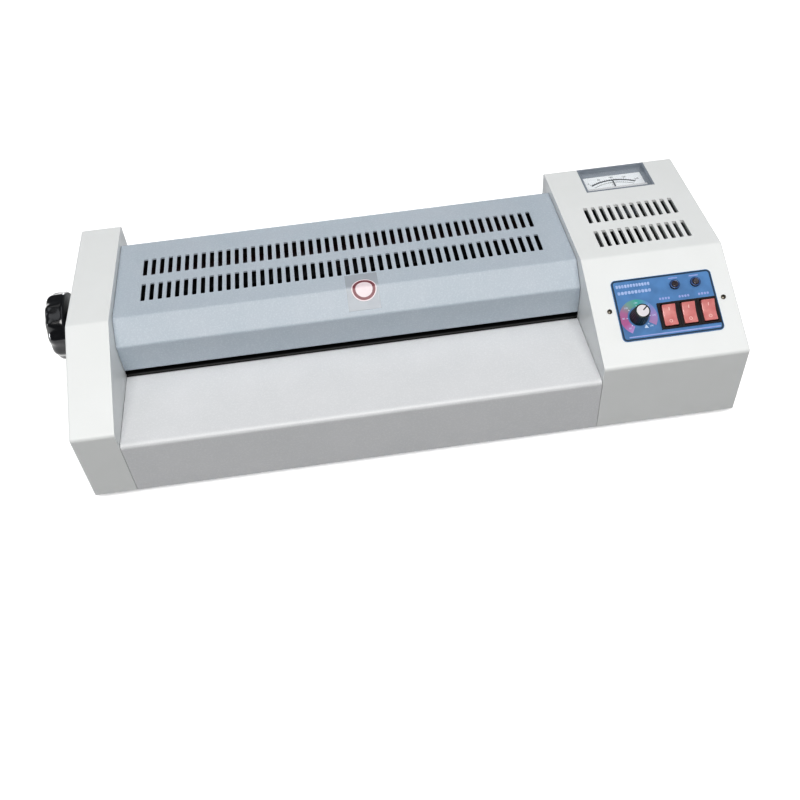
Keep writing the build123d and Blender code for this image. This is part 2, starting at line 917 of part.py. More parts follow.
# Screws of the frame: tie bars, side plates to the pan, and the motor
tie_screw_length = plate_thickness + tie_thread_depth - thread_end_gap
with BuildPart() as frame_screws:
    add(
        screw_set(
            facing_left(left_plate_x),
            seen_from_left(tie_bar_places),
            tie_thread_radius,
            screw_head_radius,
            screw_head_height,
            tie_screw_length,
        )
    )
    add(
        screw_set(
            Plane.YZ.offset(right_plate_face),
            tie_bar_places,
            tie_thread_radius,
            screw_head_radius,
            screw_head_height,
            tie_screw_length,
        )
    )
    add(
        screw_set(
            Plane.XY.offset(pan_top + plate_thickness),
            plate_screw_places,
            screw_radius,
            screw_head_radius,
            screw_head_height,
            plate_thickness + pan_sheet,
        )
    )
    add(
        screw_set(
            facing_left(bracket_x),
            seen_from_left(motor_screw_places),
            screw_radius,
            screw_head_radius,
            screw_head_height,
            bracket_sheet + motor_screw_depth,
        )
    )
frame_screws.part.label = "frame_screws"

# Bushes of the two lower rollers
bush_bore = journal_radius + running_clearance
with BuildPart() as lower_bushes:
    for plate_x, flange_x in (
        (left_plate_x, left_plate_x + plate_thickness),
        (right_plate_x, right_plate_x - bush_flange),
    ):
        with BuildSketch(Plane.YZ.offset(plate_x)):
            with Locations(lower_hot, lower_pull):
                Circle(bush_radius)
        extrude(amount=plate_thickness)
        with BuildSketch(Plane.YZ.offset(flange_x)):
            with Locations(lower_hot, lower_pull):
                Circle(bush_flange_radius)
        extrude(amount=bush_flange)
    with BuildSketch(Plane.YZ.offset(left_plate_x)):
        with Locations(lower_hot, lower_pull):
            Circle(bush_bore)
    extrude(amount=right_plate_face - left_plate_x, mode=Mode.SUBTRACT)
lower_bushes.part.label = "lower_bushes"


def bearing_blocks(axis):
    """Pair of blocks that carry an upper roller and slide up in the side plates."""
    foot = axis[1] - block_width / 2 + block_play
    head = axis[1] + block_width / 2
    cheek_offset = block_cheek + block_play
    with BuildPart() as blocks:
        for plate_x in (left_plate_x, right_plate_x):
            for x, width, length in (
                (plate_x - block_play, block_width - 2 * block_play, plate_thickness + 2 * block_play),
                (plate_x - cheek_offset, block_cheek_width, block_cheek),
                (plate_x + plate_thickness + block_play, block_cheek_width, block_cheek),
            ):
                with BuildSketch(Plane.YZ.offset(x)):
                    with Locations((axis[0], (foot + head) / 2)):
                        Rectangle(width, head - foot)
                extrude(amount=length)
        with BuildSketch(Plane.YZ.offset(left_plate_x - cheek_offset)):
            with Locations(axis):
                Circle(bush_bore)
        extrude(amount=right_plate_face - left_plate_x + 2 * cheek_offset, mode=Mode.SUBTRACT)
    return blocks


upper_hot_blocks = bearing_blocks(upper_hot)
upper_hot_blocks.part.label = "upper_hot_blocks"
upper_pull_blocks = bearing_blocks(upper_pull)
upper_pull_blocks.part.label = "upper_pull_blocks"


def pressure_springs(axis):
    """Pair of springs between the bearing blocks and the tops of their slots."""
    coil_height = spring_length - spring_wire - block_play
    start = axis[1] + block_width / 2 + (spring_wire + block_play) / 2
    with BuildPart() as springs:
        for plate_x in (left_plate_x, right_plate_x):
            with BuildLine() as coil:
                Helix(
                    coil_height / spring_turns,
                    coil_height,
                    spring_radius,
                    center=(plate_x + plate_thickness / 2, axis[0], start),
                )
            with BuildSketch(Plane(origin=coil.line @ 0, z_dir=coil.line % 0)):
                Circle(spring_wire / 2)
            sweep(path=coil.line, is_frenet=True)
    return springs


upper_hot_springs = pressure_springs(upper_hot)
upper_hot_springs.part.label = "upper_hot_springs"
upper_pull_springs = pressure_springs(upper_pull)
upper_pull_springs.part.label = "upper_pull_springs"

# Rollers, each a steel core in a silicone sleeve
core_start = bay_left + core_margin
core_length = bay_right - bay_left - 2 * core_margin
sleeve_start = bay_left + rubber_margin
sleeve_length = bay_right - bay_left - 2 * rubber_margin
journal_start = left_plate_x - block_cheek - journal_end_gap
wheel_start = case_left - wheel_reach
wheel_journal_start = wheel_start + wheel_cap_thickness


def roller_core(axis, radius, start):
    """Steel core of a roller, with a journal at each end."""
    with BuildPart() as core:
        with BuildSketch(Plane.YZ.offset(core_start)):
            with Locations(axis):
                Circle(radius - rubber_thickness)
        extrude(amount=core_length)
        with BuildSketch(Plane.YZ.offset(start)):
            with Locations(axis):
                Circle(journal_radius)
        extrude(amount=shaft_end_x - start)
    return core


def roller_sleeve(axis, radius):
    """Silicone sleeve of a roller."""
    with BuildPart() as sleeve:
        with BuildSketch(Plane.YZ.offset(sleeve_start)):
            with Locations(axis):
                Circle(radius)
                Circle(radius - rubber_thickness, mode=Mode.SUBTRACT)
        extrude(amount=sleeve_length)
    return sleeve


upper_hot_core = roller_core(upper_hot, hot_radius, wheel_journal_start)
upper_hot_core.part.label = "upper_hot_core"
lower_hot_core = roller_core(lower_hot, hot_radius, journal_start)
lower_hot_core.part.label = "lower_hot_core"
upper_pull_core = roller_core(upper_pull, pull_radius, journal_start)
upper_pull_core.part.label = "upper_pull_core"
lower_pull_core = roller_core(lower_pull, pull_radius, journal_start)
lower_pull_core.part.label = "lower_pull_core"
upper_hot_sleeve = roller_sleeve(upper_hot, hot_radius)
upper_hot_sleeve.part.label = "upper_hot_sleeve"
lower_hot_sleeve = roller_sleeve(lower_hot, hot_radius)
lower_hot_sleeve.part.label = "lower_hot_sleeve"
upper_pull_sleeve = roller_sleeve(upper_pull, pull_radius)
upper_pull_sleeve.part.label = "upper_pull_sleeve"
lower_pull_sleeve = roller_sleeve(lower_pull, pull_radius)
lower_pull_sleeve.part.label = "lower_pull_sleeve"


def heat_shoe(axis, heater, side):
    """Aluminium shoe round the outer half of a hot roller; side is 1 above it and -1 below."""
    reach = 2 * shoe_boss_top
    spread = math.radians(shoe_half_angle)
    corner = (reach * math.sin(spread), side * reach * math.cos(spread))
    with BuildPart() as shoe:
        with BuildSketch(Plane.YZ.offset(plate_span_start)):
            with Locations(axis):
                Circle(shoe_outer)
            with Locations((axis[0], axis[1] + side * shoe_boss_top / 2)):
                Rectangle(shoe_boss_width, shoe_boss_top)
            with Locations(axis):
                Circle(shoe_inner, mode=Mode.SUBTRACT)
            with BuildLine():
                Polyline(
                    axis,
                    (axis[0] + corner[0], axis[1] + corner[1]),
                    (axis[0] - corner[0], axis[1] + corner[1]),
                    close=True,
                )
            make_face(mode=Mode.INTERSECT)
            with Locations(heater):
                Circle(heater_radius, mode=Mode.SUBTRACT)
        extrude(amount=plate_span)
    return shoe


upper_heat_shoe = heat_shoe(upper_hot, upper_heater, 1)
upper_heat_shoe.part.label = "upper_heat_shoe"
lower_heat_shoe = heat_shoe(lower_hot, lower_heater, -1)
lower_heat_shoe.part.label = "lower_heat_shoe"

# Heater rods through both shoes
with BuildPart() as heater_rods:
    with BuildSketch(Plane.YZ.offset(left_plate_x - heater_overhang)):
        with Locations(upper_heater, lower_heater):
            Circle(heater_radius)
    extrude(amount=plate_span + 2 * plate_thickness + 2 * heater_overhang)
heater_rods.part.label = "heater_rods"

# Temperature sensor on the upper shoe and cut-out under the lower one
sensor_seat = upper_hot[1] + shoe_boss_top
cutout_seat = lower_hot[1] - shoe_boss_top
with BuildPart() as heat_sensors:
    with BuildSketch(Plane.XY.offset(sensor_seat)):
        with Locations((bay_middle, hot_y)):
            Rectangle(sensor_length, sensor_width)
    extrude(amount=sensor_height)
    with BuildSketch(Plane.XY.offset(cutout_seat)):
        with Locations((bay_middle, hot_y)):
            Circle(cutout_radius)
    extrude(amount=-cutout_height)
heat_sensors.part.label = "heat_sensors"

# Guide plates: two that lead into the hot rollers, one between the two pairs of rollers
guide_end_y = hot_y - guide_end_gap
guide_back_y = slot_y + cover_sheet
upper_guide_path = [
    (guide_end_y, tray_z + upper_guide_end),
    (guide_back_y, tray_z + upper_guide_mouth),
    (guide_back_y, tray_z + upper_guide_mouth + guide_flange),
]
lower_guide_path = [
    (front_tray_end, tray_z - tray_flange),
    (front_tray_end, tray_z - cover_gap),
    (guide_end_y, tray_z - lower_guide_drop),
]
transfer_y = (hot_y + hot_radius + pull_y - pull_radius) / 2
transfer_guide_path = [
    (transfer_y, lower_hot[1]),
    (transfer_y, tray_z - cover_gap),
    (transfer_y + transfer_reach, tray_z - cover_gap),
]
upper_guide = bay_sheet(upper_guide_path, guide_sheet, guide_sheet)
upper_guide.part.label = "upper_guide"
lower_guide = bay_sheet(lower_guide_path, guide_sheet, guide_sheet)
lower_guide.part.label = "lower_guide"
with BuildPart() as transfer_guide:
    with BuildSketch(Plane.YZ.offset(plate_span_start)):
        with BuildLine():
            bent_strip(transfer_guide_path, guide_sheet, guide_sheet)
        make_face()
    extrude(amount=plate_span)
transfer_guide.part.label = "transfer_guide"


def bearing_to(start, end):
    """Angle in degrees of the line from one axis to another."""
    return math.degrees(math.atan2(end[1] - start[1], end[0] - start[0]))


# Gear train, every gear set so that its teeth mesh with the one before it
lower_hot_phase = 0.0
upper_hot_phase = mesh_phase(hot_teeth, lower_hot_phase, hot_teeth, 90)
idler_phase = mesh_phase(hot_teeth, lower_hot_phase, idler_teeth, bearing_to(lower_hot, idler))
lower_pull_phase = mesh_phase(idler_teeth, idler_phase, pull_teeth, bearing_to(idler, lower_pull))
upper_pull_phase = mesh_phase(pull_teeth, lower_pull_phase, pull_teeth, 90)
pinion_phase = mesh_phase(hot_teeth, lower_hot_phase, pinion_teeth, pinion_bearing)


def spur_gear(teeth, axis, phase, bore_radius):
    """Spur gear of the train on its axis."""
    with BuildPart() as gear:
        with BuildSketch(Plane.YZ.offset(gear_x)):
            with BuildLine():
                Polyline(*gear_outline(teeth, axis, phase), close=True)
            make_face()
            with Locations(axis):
                Circle(bore_radius, mode=Mode.SUBTRACT)
        extrude(amount=gear_face)
    return gear


upper_hot_gear = spur_gear(hot_teeth, upper_hot, upper_hot_phase, journal_radius)
upper_hot_gear.part.label = "upper_hot_gear"
lower_hot_gear = spur_gear(hot_teeth, lower_hot, lower_hot_phase, journal_radius)
lower_hot_gear.part.label = "lower_hot_gear"
upper_pull_gear = spur_gear(pull_teeth, upper_pull, upper_pull_phase, journal_radius)
upper_pull_gear.part.label = "upper_pull_gear"
lower_pull_gear = spur_gear(pull_teeth, lower_pull, lower_pull_phase, journal_radius)
lower_pull_gear.part.label = "lower_pull_gear"
idler_gear = spur_gear(idler_teeth, idler, idler_phase, idler_stud_radius + running_clearance)
idler_gear.part.label = "idler_gear"

# Motor pinion in one piece with the motor's shaft
pinion_shaft_end = motor_start + motor_shaft_depth
with BuildPart() as motor_pinion:
    with BuildSketch(Plane.YZ.offset(gear_x)):
        with BuildLine():
            Polyline(*gear_outline(pinion_teeth, pinion, pinion_phase), close=True)
        make_face()
    extrude(amount=gear_face)
    with BuildSketch(Plane.YZ.offset(gear_x)):
        with Locations(pinion):
            Circle(motor_shaft_radius)
    extrude(amount=pinion_shaft_end - gear_x)
motor_pinion.part.label = "motor_pinion"

# Gearmotor, with a boss that centres it in the bracket
with BuildPart() as gear_motor:
    with BuildSketch(Plane.YZ.offset(motor_start)):
        with Locations(pinion):
            Circle(motor_radius)
    extrude(amount=motor_length)
    motor_rims = gear_motor.edges().filter_by(GeomType.CIRCLE).sort_by(Axis.X)[-1:]
    fillet(motor_rims, radius=bracket_sheet)
    with BuildSketch(Plane.YZ.offset(bracket_x)):
        with Locations(pinion):
            Circle(motor_boss_radius)
    extrude(amount=bracket_sheet)
    with BuildSketch(Plane.YZ.offset(bracket_x)):
        with Locations(pinion):
            Circle(motor_shaft_radius + running_clearance)
    extrude(amount=bracket_sheet + motor_shaft_depth + journal_end_gap, mode=Mode.SUBTRACT)
    with BuildSketch(Plane.YZ.offset(motor_start)):
        with Locations(*motor_screw_places):
            Circle(screw_radius)
    extrude(amount=motor_screw_depth, mode=Mode.SUBTRACT)
gear_motor.part.label = "gear_motor"

# Motor bracket on three spacers
spacer_reach_y = bracket_width / 2 - spacer_radius
spacer_reach_z = bracket_height / 2 - spacer_radius
spacer_places = [
    (pinion[0] - spacer_reach_y, pinion[1] - spacer_reach_z),
    (pinion[0] - spacer_reach_y, pinion[1] + spacer_reach_z),
    (pinion[0] + spacer_reach_y - spacer_radius, pinion[1] - spacer_reach_z),
]
with BuildPart() as motor_bracket:
    with BuildSketch(Plane.YZ.offset(bracket_x)):
        with Locations(pinion):
            RectangleRounded(bracket_width, bracket_height, spacer_radius)
            Circle(motor_boss_radius, mode=Mode.SUBTRACT)
        with Locations(*motor_screw_places):
            Circle(screw_radius, mode=Mode.SUBTRACT)
    extrude(amount=bracket_sheet)
    with BuildSketch(Plane.YZ.offset(right_plate_face)):
        with Locations(*spacer_places):
            Circle(spacer_radius)
    extrude(amount=bracket_x - right_plate_face)
motor_bracket.part.label = "motor_bracket"

# Fluted hand wheel on the upper hot roller's shaft
with BuildPart() as hand_wheel:
    with BuildSketch(Plane.YZ.offset(wheel_start)):
        with Locations(upper_hot):
            Circle(wheel_radius)
            with PolarLocations(wheel_radius + flute_radius - flute_depth, wheel_flutes):
                Circle(flute_radius, mode=Mode.SUBTRACT)
    extrude(amount=wheel_width)
    wheel_rims = hand_wheel.faces().filter_by(Axis.X).edges()
    fillet(wheel_rims, radius=wheel_edge_radius)
    with BuildSketch(Plane.YZ.offset(wheel_start + wheel_width)):
        with Locations(upper_hot):
            Circle(wheel_hub_radius)
    extrude(amount=wheel_reach - wheel_width - wheel_gap)
    with BuildSketch(Plane.YZ.offset(wheel_start)):
        with Locations(upper_hot):
            Circle(journal_radius)
    extrude(amount=wheel_reach, mode=Mode.SUBTRACT)
    with BuildSketch(Plane.YZ.offset(wheel_start)):
        with Locations(upper_hot):
            Circle(wheel_cap_radius)
    extrude(amount=wheel_cap_thickness, mode=Mode.SUBTRACT)
hand_wheel.part.label = "hand_wheel"

with BuildPart() as hand_wheel_cap:
    with BuildSketch(Plane.YZ.offset(wheel_start)):
        with Locations(upper_hot):
            Circle(wheel_cap_radius)
    extrude(amount=wheel_cap_thickness)
hand_wheel_cap.part.label = "hand_wheel_cap"

# Printed control plate
with BuildPart() as control_plate:
    with BuildSketch(slope_plane):
        with Locations((panel_x, -panel_s)):
            RectangleRounded(panel_width, panel_length, panel_corner)
    extrude(amount=panel_thickness)
    with BuildSketch(slope_plane):
        panel_holes()
    extrude(amount=panel_thickness, mode=Mode.SUBTRACT)
control_plate.part.label = "control_plate"

# Potentiometer behind the slope, held by the nut on its bush
pot_bore_radius = knob_stem_radius + running_clearance
with BuildPart() as potentiometer:
    with BuildSketch(slope_plane.offset(-moulded_wall - pot_height)):
        with Locations((knob_x, -knob_s)):
            Circle(pot_radius)
    extrude(amount=pot_height)
    with BuildSketch(slope_plane.offset(-moulded_wall)):
        with Locations((knob_x, -knob_s)):
            Circle(pot_bush_radius)
    extrude(amount=moulded_wall + panel_thickness + pot_nut_height)
    with BuildSketch(slope_plane.offset(panel_thickness)):
        with Locations((knob_x, -knob_s)):
            RegularPolygon(pot_nut_radius, 6)
    extrude(amount=pot_nut_height)
    with BuildSketch(slope_plane.offset(panel_thickness + pot_nut_height)):
        with Locations((knob_x, -knob_s)):
            Circle(pot_bore_radius)
    extrude(amount=-pot_nut_height - panel_thickness - stem_depth, mode=Mode.SUBTRACT)
potentiometer.part.label = "potentiometer"

# Temperature knob, hollow below to clear the nut, with a plain light cap
knob_base = panel_thickness + knob_gap
knob_taper = math.degrees(math.atan2(knob_radius - knob_top_radius, knob_height))
with BuildPart() as temperature_knob:
    with BuildSketch(slope_plane.offset(knob_base)):
        with Locations((knob_x, -knob_s)):
            Circle(knob_radius)
    extrude(amount=knob_height, taper=knob_taper)
    with BuildSketch(slope_plane.offset(knob_base)):
        with Locations((knob_x, -knob_s)):
            Circle(knob_bore_radius)
    extrude(amount=knob_bore_depth, mode=Mode.SUBTRACT)
    with BuildSketch(slope_plane.offset(knob_base + knob_height)):
        with Locations((knob_x, -knob_s)):
            Circle(knob_cap_radius)
    extrude(amount=-knob_cap_thickness, mode=Mode.SUBTRACT)
    with BuildSketch(slope_plane.offset(knob_base + knob_bore_depth)):
        with Locations((knob_x, -knob_s)):
            Circle(knob_stem_radius)
    extrude(amount=-knob_base - knob_bore_depth - stem_depth + journal_end_gap)
temperature_knob.part.label = "temperature_knob"

with BuildPart() as knob_cap:
    with BuildSketch(slope_plane.offset(knob_base + knob_height - knob_cap_thickness)):
        with Locations((knob_x, -knob_s)):
            Circle(knob_cap_radius)
    extrude(amount=knob_cap_thickness + knob_cap_proud)
knob_cap.part.label = "knob_cap"

# Rocker switches
switch_places = [
    (switch_x + (index - (switch_count - 1) / 2) * switch_pitch, -switch_s) for index in range(switch_count)
]
rocker_pivot = bezel_top - rocker_pivot_drop
pin_hole_length = rocker_width + 2 * (rocker_pin_length + switch_fit)
with BuildPart() as switch_bodies:
    with BuildSketch(slope_plane.offset(panel_thickness)):
        with Locations(*switch_places):
            Rectangle(bezel_width, bezel_length)
    extrude(amount=bezel_height)
    with BuildSketch(slope_plane.offset(panel_thickness)):
        with Locations(*switch_places):
            Rectangle(switch_body_width, switch_body_length)
    extrude(amount=-switch_body_depth)
    with BuildSketch(slope_plane.offset(panel_thickness - switch_body_depth)):
        for x, y in switch_places:
            with Locations((x, y - blade_width), (x, y + blade_width)):
                Rectangle(blade_width, blade_thickness)
    extrude(amount=-blade_length)
    with BuildSketch(slope_plane.offset(bezel_top)):
        with Locations(*switch_places):
            Rectangle(rocker_width + 2 * rocker_play, 2 * rocker_sweep)
    extrude(amount=-rocker_well, mode=Mode.SUBTRACT)
    for switch_place in switch_places:
        pin_start = switch_place[0] - pin_hole_length / 2
        with BuildSketch(slope_side_plane(pin_start, switch_s, rocker_pivot)):
            Circle(rocker_pin_radius + running_clearance)
        extrude(amount=pin_hole_length, mode=Mode.SUBTRACT)
switch_bodies.part.label = "switch_bodies"

rocker_profile = [
    (rocker_reach, rocker_rise),
    (0, rocker_dip),
    (-rocker_reach, rocker_rise),
    (-rocker_reach - rocker_play, 0),
    (-rocker_keel, -rocker_keel),
    (rocker_keel, -rocker_keel),
    (rocker_reach + rocker_play, 0),
]


def rocker(x):
    """Rocker of a switch, tipped on its two pins with its upper end raised."""
    pins_length = rocker_width + 2 * rocker_pin_length
    with BuildPart() as piece:
        with BuildSketch(slope_side_plane(x - rocker_width / 2, switch_s, rocker_pivot, rocker_tilt)):
            with BuildLine():
                Polyline(*rocker_profile, close=True)
            make_face()
        extrude(amount=rocker_width)
        with BuildSketch(slope_side_plane(x - pins_length / 2, switch_s, rocker_pivot, rocker_tilt)):
            Circle(rocker_pin_radius)
        extrude(amount=pins_length)
    return piece


heat_rocker = rocker(switch_places[0][0])
heat_rocker.part.label = "heat_rocker"
direction_rocker = rocker(switch_places[1][0])
direction_rocker.part.label = "direction_rocker"
power_rocker = rocker(switch_places[2][0])
power_rocker.part.label = "power_rocker"

# Pilot lamps and their lenses
lens_depth = lamp_body_radius
lens_height = lamp_ring_height + lens_proud + lens_depth
with BuildPart() as pilot_lamps:
    with BuildSketch(slope_plane.offset(panel_thickness)):
        with Locations((lamp_x, -lamp_s)):
            with GridLocations(lamp_pitch, 0, 2, 1):
                Circle(lamp_ring_radius)
    extrude(amount=lamp_ring_height)
    with BuildSketch(slope_plane.offset(panel_thickness)):
        with Locations((lamp_x, -lamp_s)):
            with GridLocations(lamp_pitch, 0, 2, 1):
                Circle(lamp_body_radius)
    extrude(amount=-lamp_body_depth)
    with BuildSketch(slope_plane.offset(panel_thickness + lamp_ring_height)):
        with Locations((lamp_x, -lamp_s)):
            with GridLocations(lamp_pitch, 0, 2, 1):
                Circle(lens_radius)
    extrude(amount=-lamp_ring_height - lens_depth, mode=Mode.SUBTRACT)
pilot_lamps.part.label = "pilot_lamps"

with BuildPart() as lamp_lenses:
    with BuildSketch(slope_plane.offset(panel_thickness - lens_depth)):
        with Locations((lamp_x, -lamp_s)):
            with GridLocations(lamp_pitch, 0, 2, 1):
                Circle(lens_radius)
    extrude(amount=lens_height)
    lens_rims = lamp_lenses.faces().filter_by(slope_plane).group_by(Axis.Z)[-1].edges()
    fillet(lens_rims, radius=lens_proud)
lamp_lenses.part.label = "lamp_lenses"

# Temperature meter: a drafted well with a dial on its floor, and a shelf for the needle's pivot
meter_outer = (meter_width - 2 * meter_fit, meter_length - 2 * meter_fit)
meter_mouth = (meter_outer[0] - 2 * meter_rim, meter_outer[1] - 2 * meter_rim)
meter_floor = case_top - meter_recess


def well_size(height):
    """Width and length of the drafted well at a height."""
    narrowing = 2 * (case_top - height) * math.tan(math.radians(meter_draft))
    return meter_mouth[0] - narrowing, meter_mouth[1] - narrowing


dial_size = well_size(meter_floor)
dial_top = meter_floor + dial_thickness
needle_pivot = (meter_centre[0], meter_centre[1] - dial_size[1] / 2 - needle_pivot_gap)
needle_bottom = dial_top + needle_lift
needle_pin_depth = (meter_depth - meter_recess) / 2
needle_slot_reach = meter_centre[1] - well_size(needle_bottom)[1] / 2 - needle_pivot[1]
needle_slot_width = 2 * needle_slot_reach * math.tan(math.radians(needle_swing)) + 4 * needle_width
needle_shelf_length = meter_centre[1] - needle_pivot[1] + needle_shelf_margin
window_bottom = dial_top + window_lift

with BuildPart() as meter_body:
    with BuildSketch(Plane.XY.offset(case_top)):
        with Locations(meter_centre):
            Rectangle(*meter_outer)
    extrude(amount=-meter_depth)
    with BuildSketch(Plane.XY.offset(meter_floor)):
        with Locations(meter_centre):
            Rectangle(needle_slot_width, needle_shelf_length, align=(Align.CENTER, Align.MAX))
    extrude(amount=case_top - meter_depth - meter_floor)
    with BuildSketch(Plane.XY.offset(case_top)):
        with Locations(meter_centre):
            Rectangle(*meter_mouth)
    extrude(amount=-meter_recess, taper=meter_draft, mode=Mode.SUBTRACT)
    with BuildSketch(Plane.XY.offset(needle_bottom - needle_slot_gap)):
        with Locations(meter_centre):
            Rectangle(needle_slot_width, needle_shelf_length, align=(Align.CENTER, Align.MAX))
    extrude(amount=needle_height + 2 * needle_slot_gap, mode=Mode.SUBTRACT)
    with BuildSketch(Plane.XY.offset(meter_floor)):
        with Locations(needle_pivot):
            Circle(needle_pin_radius + running_clearance)
    extrude(amount=-needle_pin_depth - cover_gap, mode=Mode.SUBTRACT)
meter_body.part.label = "meter_body"

with BuildPart() as meter_dial:
    with BuildSketch(Plane.XY.offset(meter_floor)):
        with Locations(meter_centre):
            Rectangle(*dial_size)
    extrude(amount=dial_thickness)
meter_dial.part.label = "meter_dial"

with BuildPart() as meter_needle:
    with BuildSketch(Plane.XY.offset(needle_bottom)):
        with Locations(needle_pivot):
            Circle(needle_hub_radius)
            Rectangle(needle_width, needle_length, align=(Align.CENTER, Align.MIN))
            Rectangle(2 * needle_width, needle_tail, align=(Align.CENTER, Align.MAX))
    extrude(amount=needle_height)
    with BuildSketch(Plane.XY.offset(needle_bottom)):
        with Locations(needle_pivot):
            Circle(needle_pin_radius)
    extrude(amount=meter_floor - needle_pin_depth - needle_bottom)
meter_needle.part.label = "meter_needle"

with BuildPart() as meter_window:
    with BuildSketch(Plane.XY.offset(window_bottom)):
        with Locations(meter_centre):
            Rectangle(*well_size(window_bottom))
    extrude(amount=window_thickness)
meter_window.part.label = "meter_window"

# Power inlet, flush with the back, with its socket and three flat pins
inlet_plane = Plane.XZ.offset(-case_back)
inlet_body = (inlet_width - inlet_rim, inlet_tall - inlet_rim)
inlet_socket = (inlet_width - 2 * inlet_rim, inlet_tall - 2 * inlet_rim)
inlet_pin_places = [
    (inlet_centre[0] - inlet_pin_pitch, inlet_centre[1] - inlet_pin_step),
    (inlet_centre[0], inlet_centre[1] + inlet_pin_step),
    (inlet_centre[0] + inlet_pin_pitch, inlet_centre[1] - inlet_pin_step),
]
with BuildPart() as power_inlet:
    with BuildSketch(inlet_plane):
        with Locations(inlet_centre):
            RectangleRounded(inlet_width, inlet_tall, inlet_corner)
    extrude(amount=moulded_wall)
    with BuildSketch(inlet_plane.offset(moulded_wall)):
        with Locations(inlet_centre):
            Rectangle(*inlet_body)
    extrude(amount=inlet_depth - moulded_wall)
    with BuildSketch(inlet_plane):
        with Locations(inlet_centre):
            Rectangle(*inlet_socket)
    extrude(amount=inlet_socket_depth, mode=Mode.SUBTRACT)
    with BuildSketch(inlet_plane.offset(inlet_socket_depth)):
        with Locations(*inlet_pin_places):
            Rectangle(inlet_pin_thickness, inlet_pin_width)
    extrude(amount=-inlet_pin_length)
power_inlet.part.label = "power_inlet"

# Control board on four posts from the base pan
board_centre = (
    case_right - board_side_gap - board_width / 2,
    case_back - board_back_gap - board_length / 2,
)
board_bottom = pan_top + board_lift
board_top = board_bottom + board_thickness
post_places = (board_width - plate_margin, board_length - plate_margin)
with BuildPart() as control_board:
    with BuildSketch(Plane.XY.offset(board_bottom)):
        with Locations(board_centre):
            Rectangle(board_width, board_length)
    extrude(amount=board_thickness)
    with BuildSketch(Plane.XY.offset(pan_top)):
        with Locations(board_centre):
            with GridLocations(*post_places, 2, 2):
                Circle(spacer_radius / 2)
    extrude(amount=board_lift)
    with BuildSketch(Plane.XY.offset(board_top)):
        with Locations((board_centre[0] - board_width / 4, board_centre[1])):
            Rectangle(transformer_width, transformer_length)
    extrude(amount=transformer_height)
    with BuildSketch(Plane.XY.offset(board_top)):
        with Locations((board_centre[0] + board_width / 4, board_centre[1])):
            with GridLocations(0, relay_length + spacer_radius, 1, 2):
                Rectangle(relay_width, relay_length)
    extrude(amount=relay_height)
control_board.part.label = "control_board"

pieces = [
    base_pan,
    feet,
    case_screws,
    left_end_cover,
    control_housing,
    centre_cover,
    front_tray,
    rear_tray,
    blank_label,
    left_side_plate,
    right_side_plate,
    tie_bars,
    frame_screws,
    lower_bushes,
    upper_hot_blocks,
    upper_pull_blocks,
    upper_hot_springs,
    upper_pull_springs,
    upper_hot_core,
    upper_hot_sleeve,
    upper_hot_gear,
    hand_wheel,
    hand_wheel_cap,
    lower_hot_core,
    lower_hot_sleeve,
    lower_hot_gear,
    upper_pull_core,
    upper_pull_sleeve,
    upper_pull_gear,
    lower_pull_core,
    lower_pull_sleeve,
    lower_pull_gear,
    upper_heat_shoe,
    lower_heat_shoe,
    heater_rods,
    heat_sensors,
    upper_guide,
    lower_guide,
    transfer_guide,
    idler_gear,
    motor_pinion,
    gear_motor,
    motor_bracket,
    control_plate,
    potentiometer,
    temperature_knob,
    knob_cap,
    switch_bodies,
    heat_rocker,
    direction_rocker,
    power_rocker,
    pilot_lamps,
    lamp_lenses,
    meter_body,
    meter_dial,
    meter_needle,
    meter_window,
    power_inlet,
    control_board,
]
for piece in pieces:
    export_step(piece.part, f"parts/{piece.part.label}.step")
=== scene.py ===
"""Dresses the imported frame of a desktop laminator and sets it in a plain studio.

Every length is in millimetres until it goes into a mesh, where one factor turns it to metres.
"""

import json
import logging
import math
from collections.abc import Callable, Sequence
from dataclasses import dataclass, field
from enum import Enum
from functools import cached_property
from typing import Any

import bpy
import numpy as np
from mathutils import Matrix, Vector


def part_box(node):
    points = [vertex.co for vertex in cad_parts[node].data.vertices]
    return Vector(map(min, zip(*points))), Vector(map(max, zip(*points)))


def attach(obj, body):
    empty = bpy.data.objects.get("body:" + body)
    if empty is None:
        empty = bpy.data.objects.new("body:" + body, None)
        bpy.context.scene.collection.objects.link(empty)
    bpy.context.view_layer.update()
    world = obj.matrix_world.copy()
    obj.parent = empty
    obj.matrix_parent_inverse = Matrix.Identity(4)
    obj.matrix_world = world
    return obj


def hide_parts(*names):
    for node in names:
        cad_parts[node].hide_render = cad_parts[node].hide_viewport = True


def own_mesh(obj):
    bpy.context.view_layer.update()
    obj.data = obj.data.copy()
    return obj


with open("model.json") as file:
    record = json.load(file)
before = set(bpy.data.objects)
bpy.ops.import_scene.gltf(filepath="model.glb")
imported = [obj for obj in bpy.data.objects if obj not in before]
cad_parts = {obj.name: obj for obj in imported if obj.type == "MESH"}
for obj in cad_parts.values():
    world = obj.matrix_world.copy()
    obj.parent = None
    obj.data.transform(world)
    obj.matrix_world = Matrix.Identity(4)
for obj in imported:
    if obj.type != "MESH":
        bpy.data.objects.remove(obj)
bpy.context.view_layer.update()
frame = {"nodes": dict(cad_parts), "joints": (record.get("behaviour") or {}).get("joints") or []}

log = logging.getLogger("laminator")

Array = np.ndarray
MM = 0.001
FULL_TURN = 2 * math.pi
INK_LIFT = 0.06
ARC_STEP = 3
NOISE_ROUGHNESS = 0.55
PATCH_FADE = (0.35, 0.7)
FLECK_FADE = (0.48, 0.68)
LINE_CONTRAST = 0.3


class Body(Enum):
    """The rigid bodies of the frame that new pieces ride on."""

    FRAME = "frame"
    HOT_ROLLER = "upper_hot_roller"
    DIAL = "temperature_dial"
    HEAT = "heat_switch"
    DIRECTION = "direction_switch"
    POWER = "power_switch"


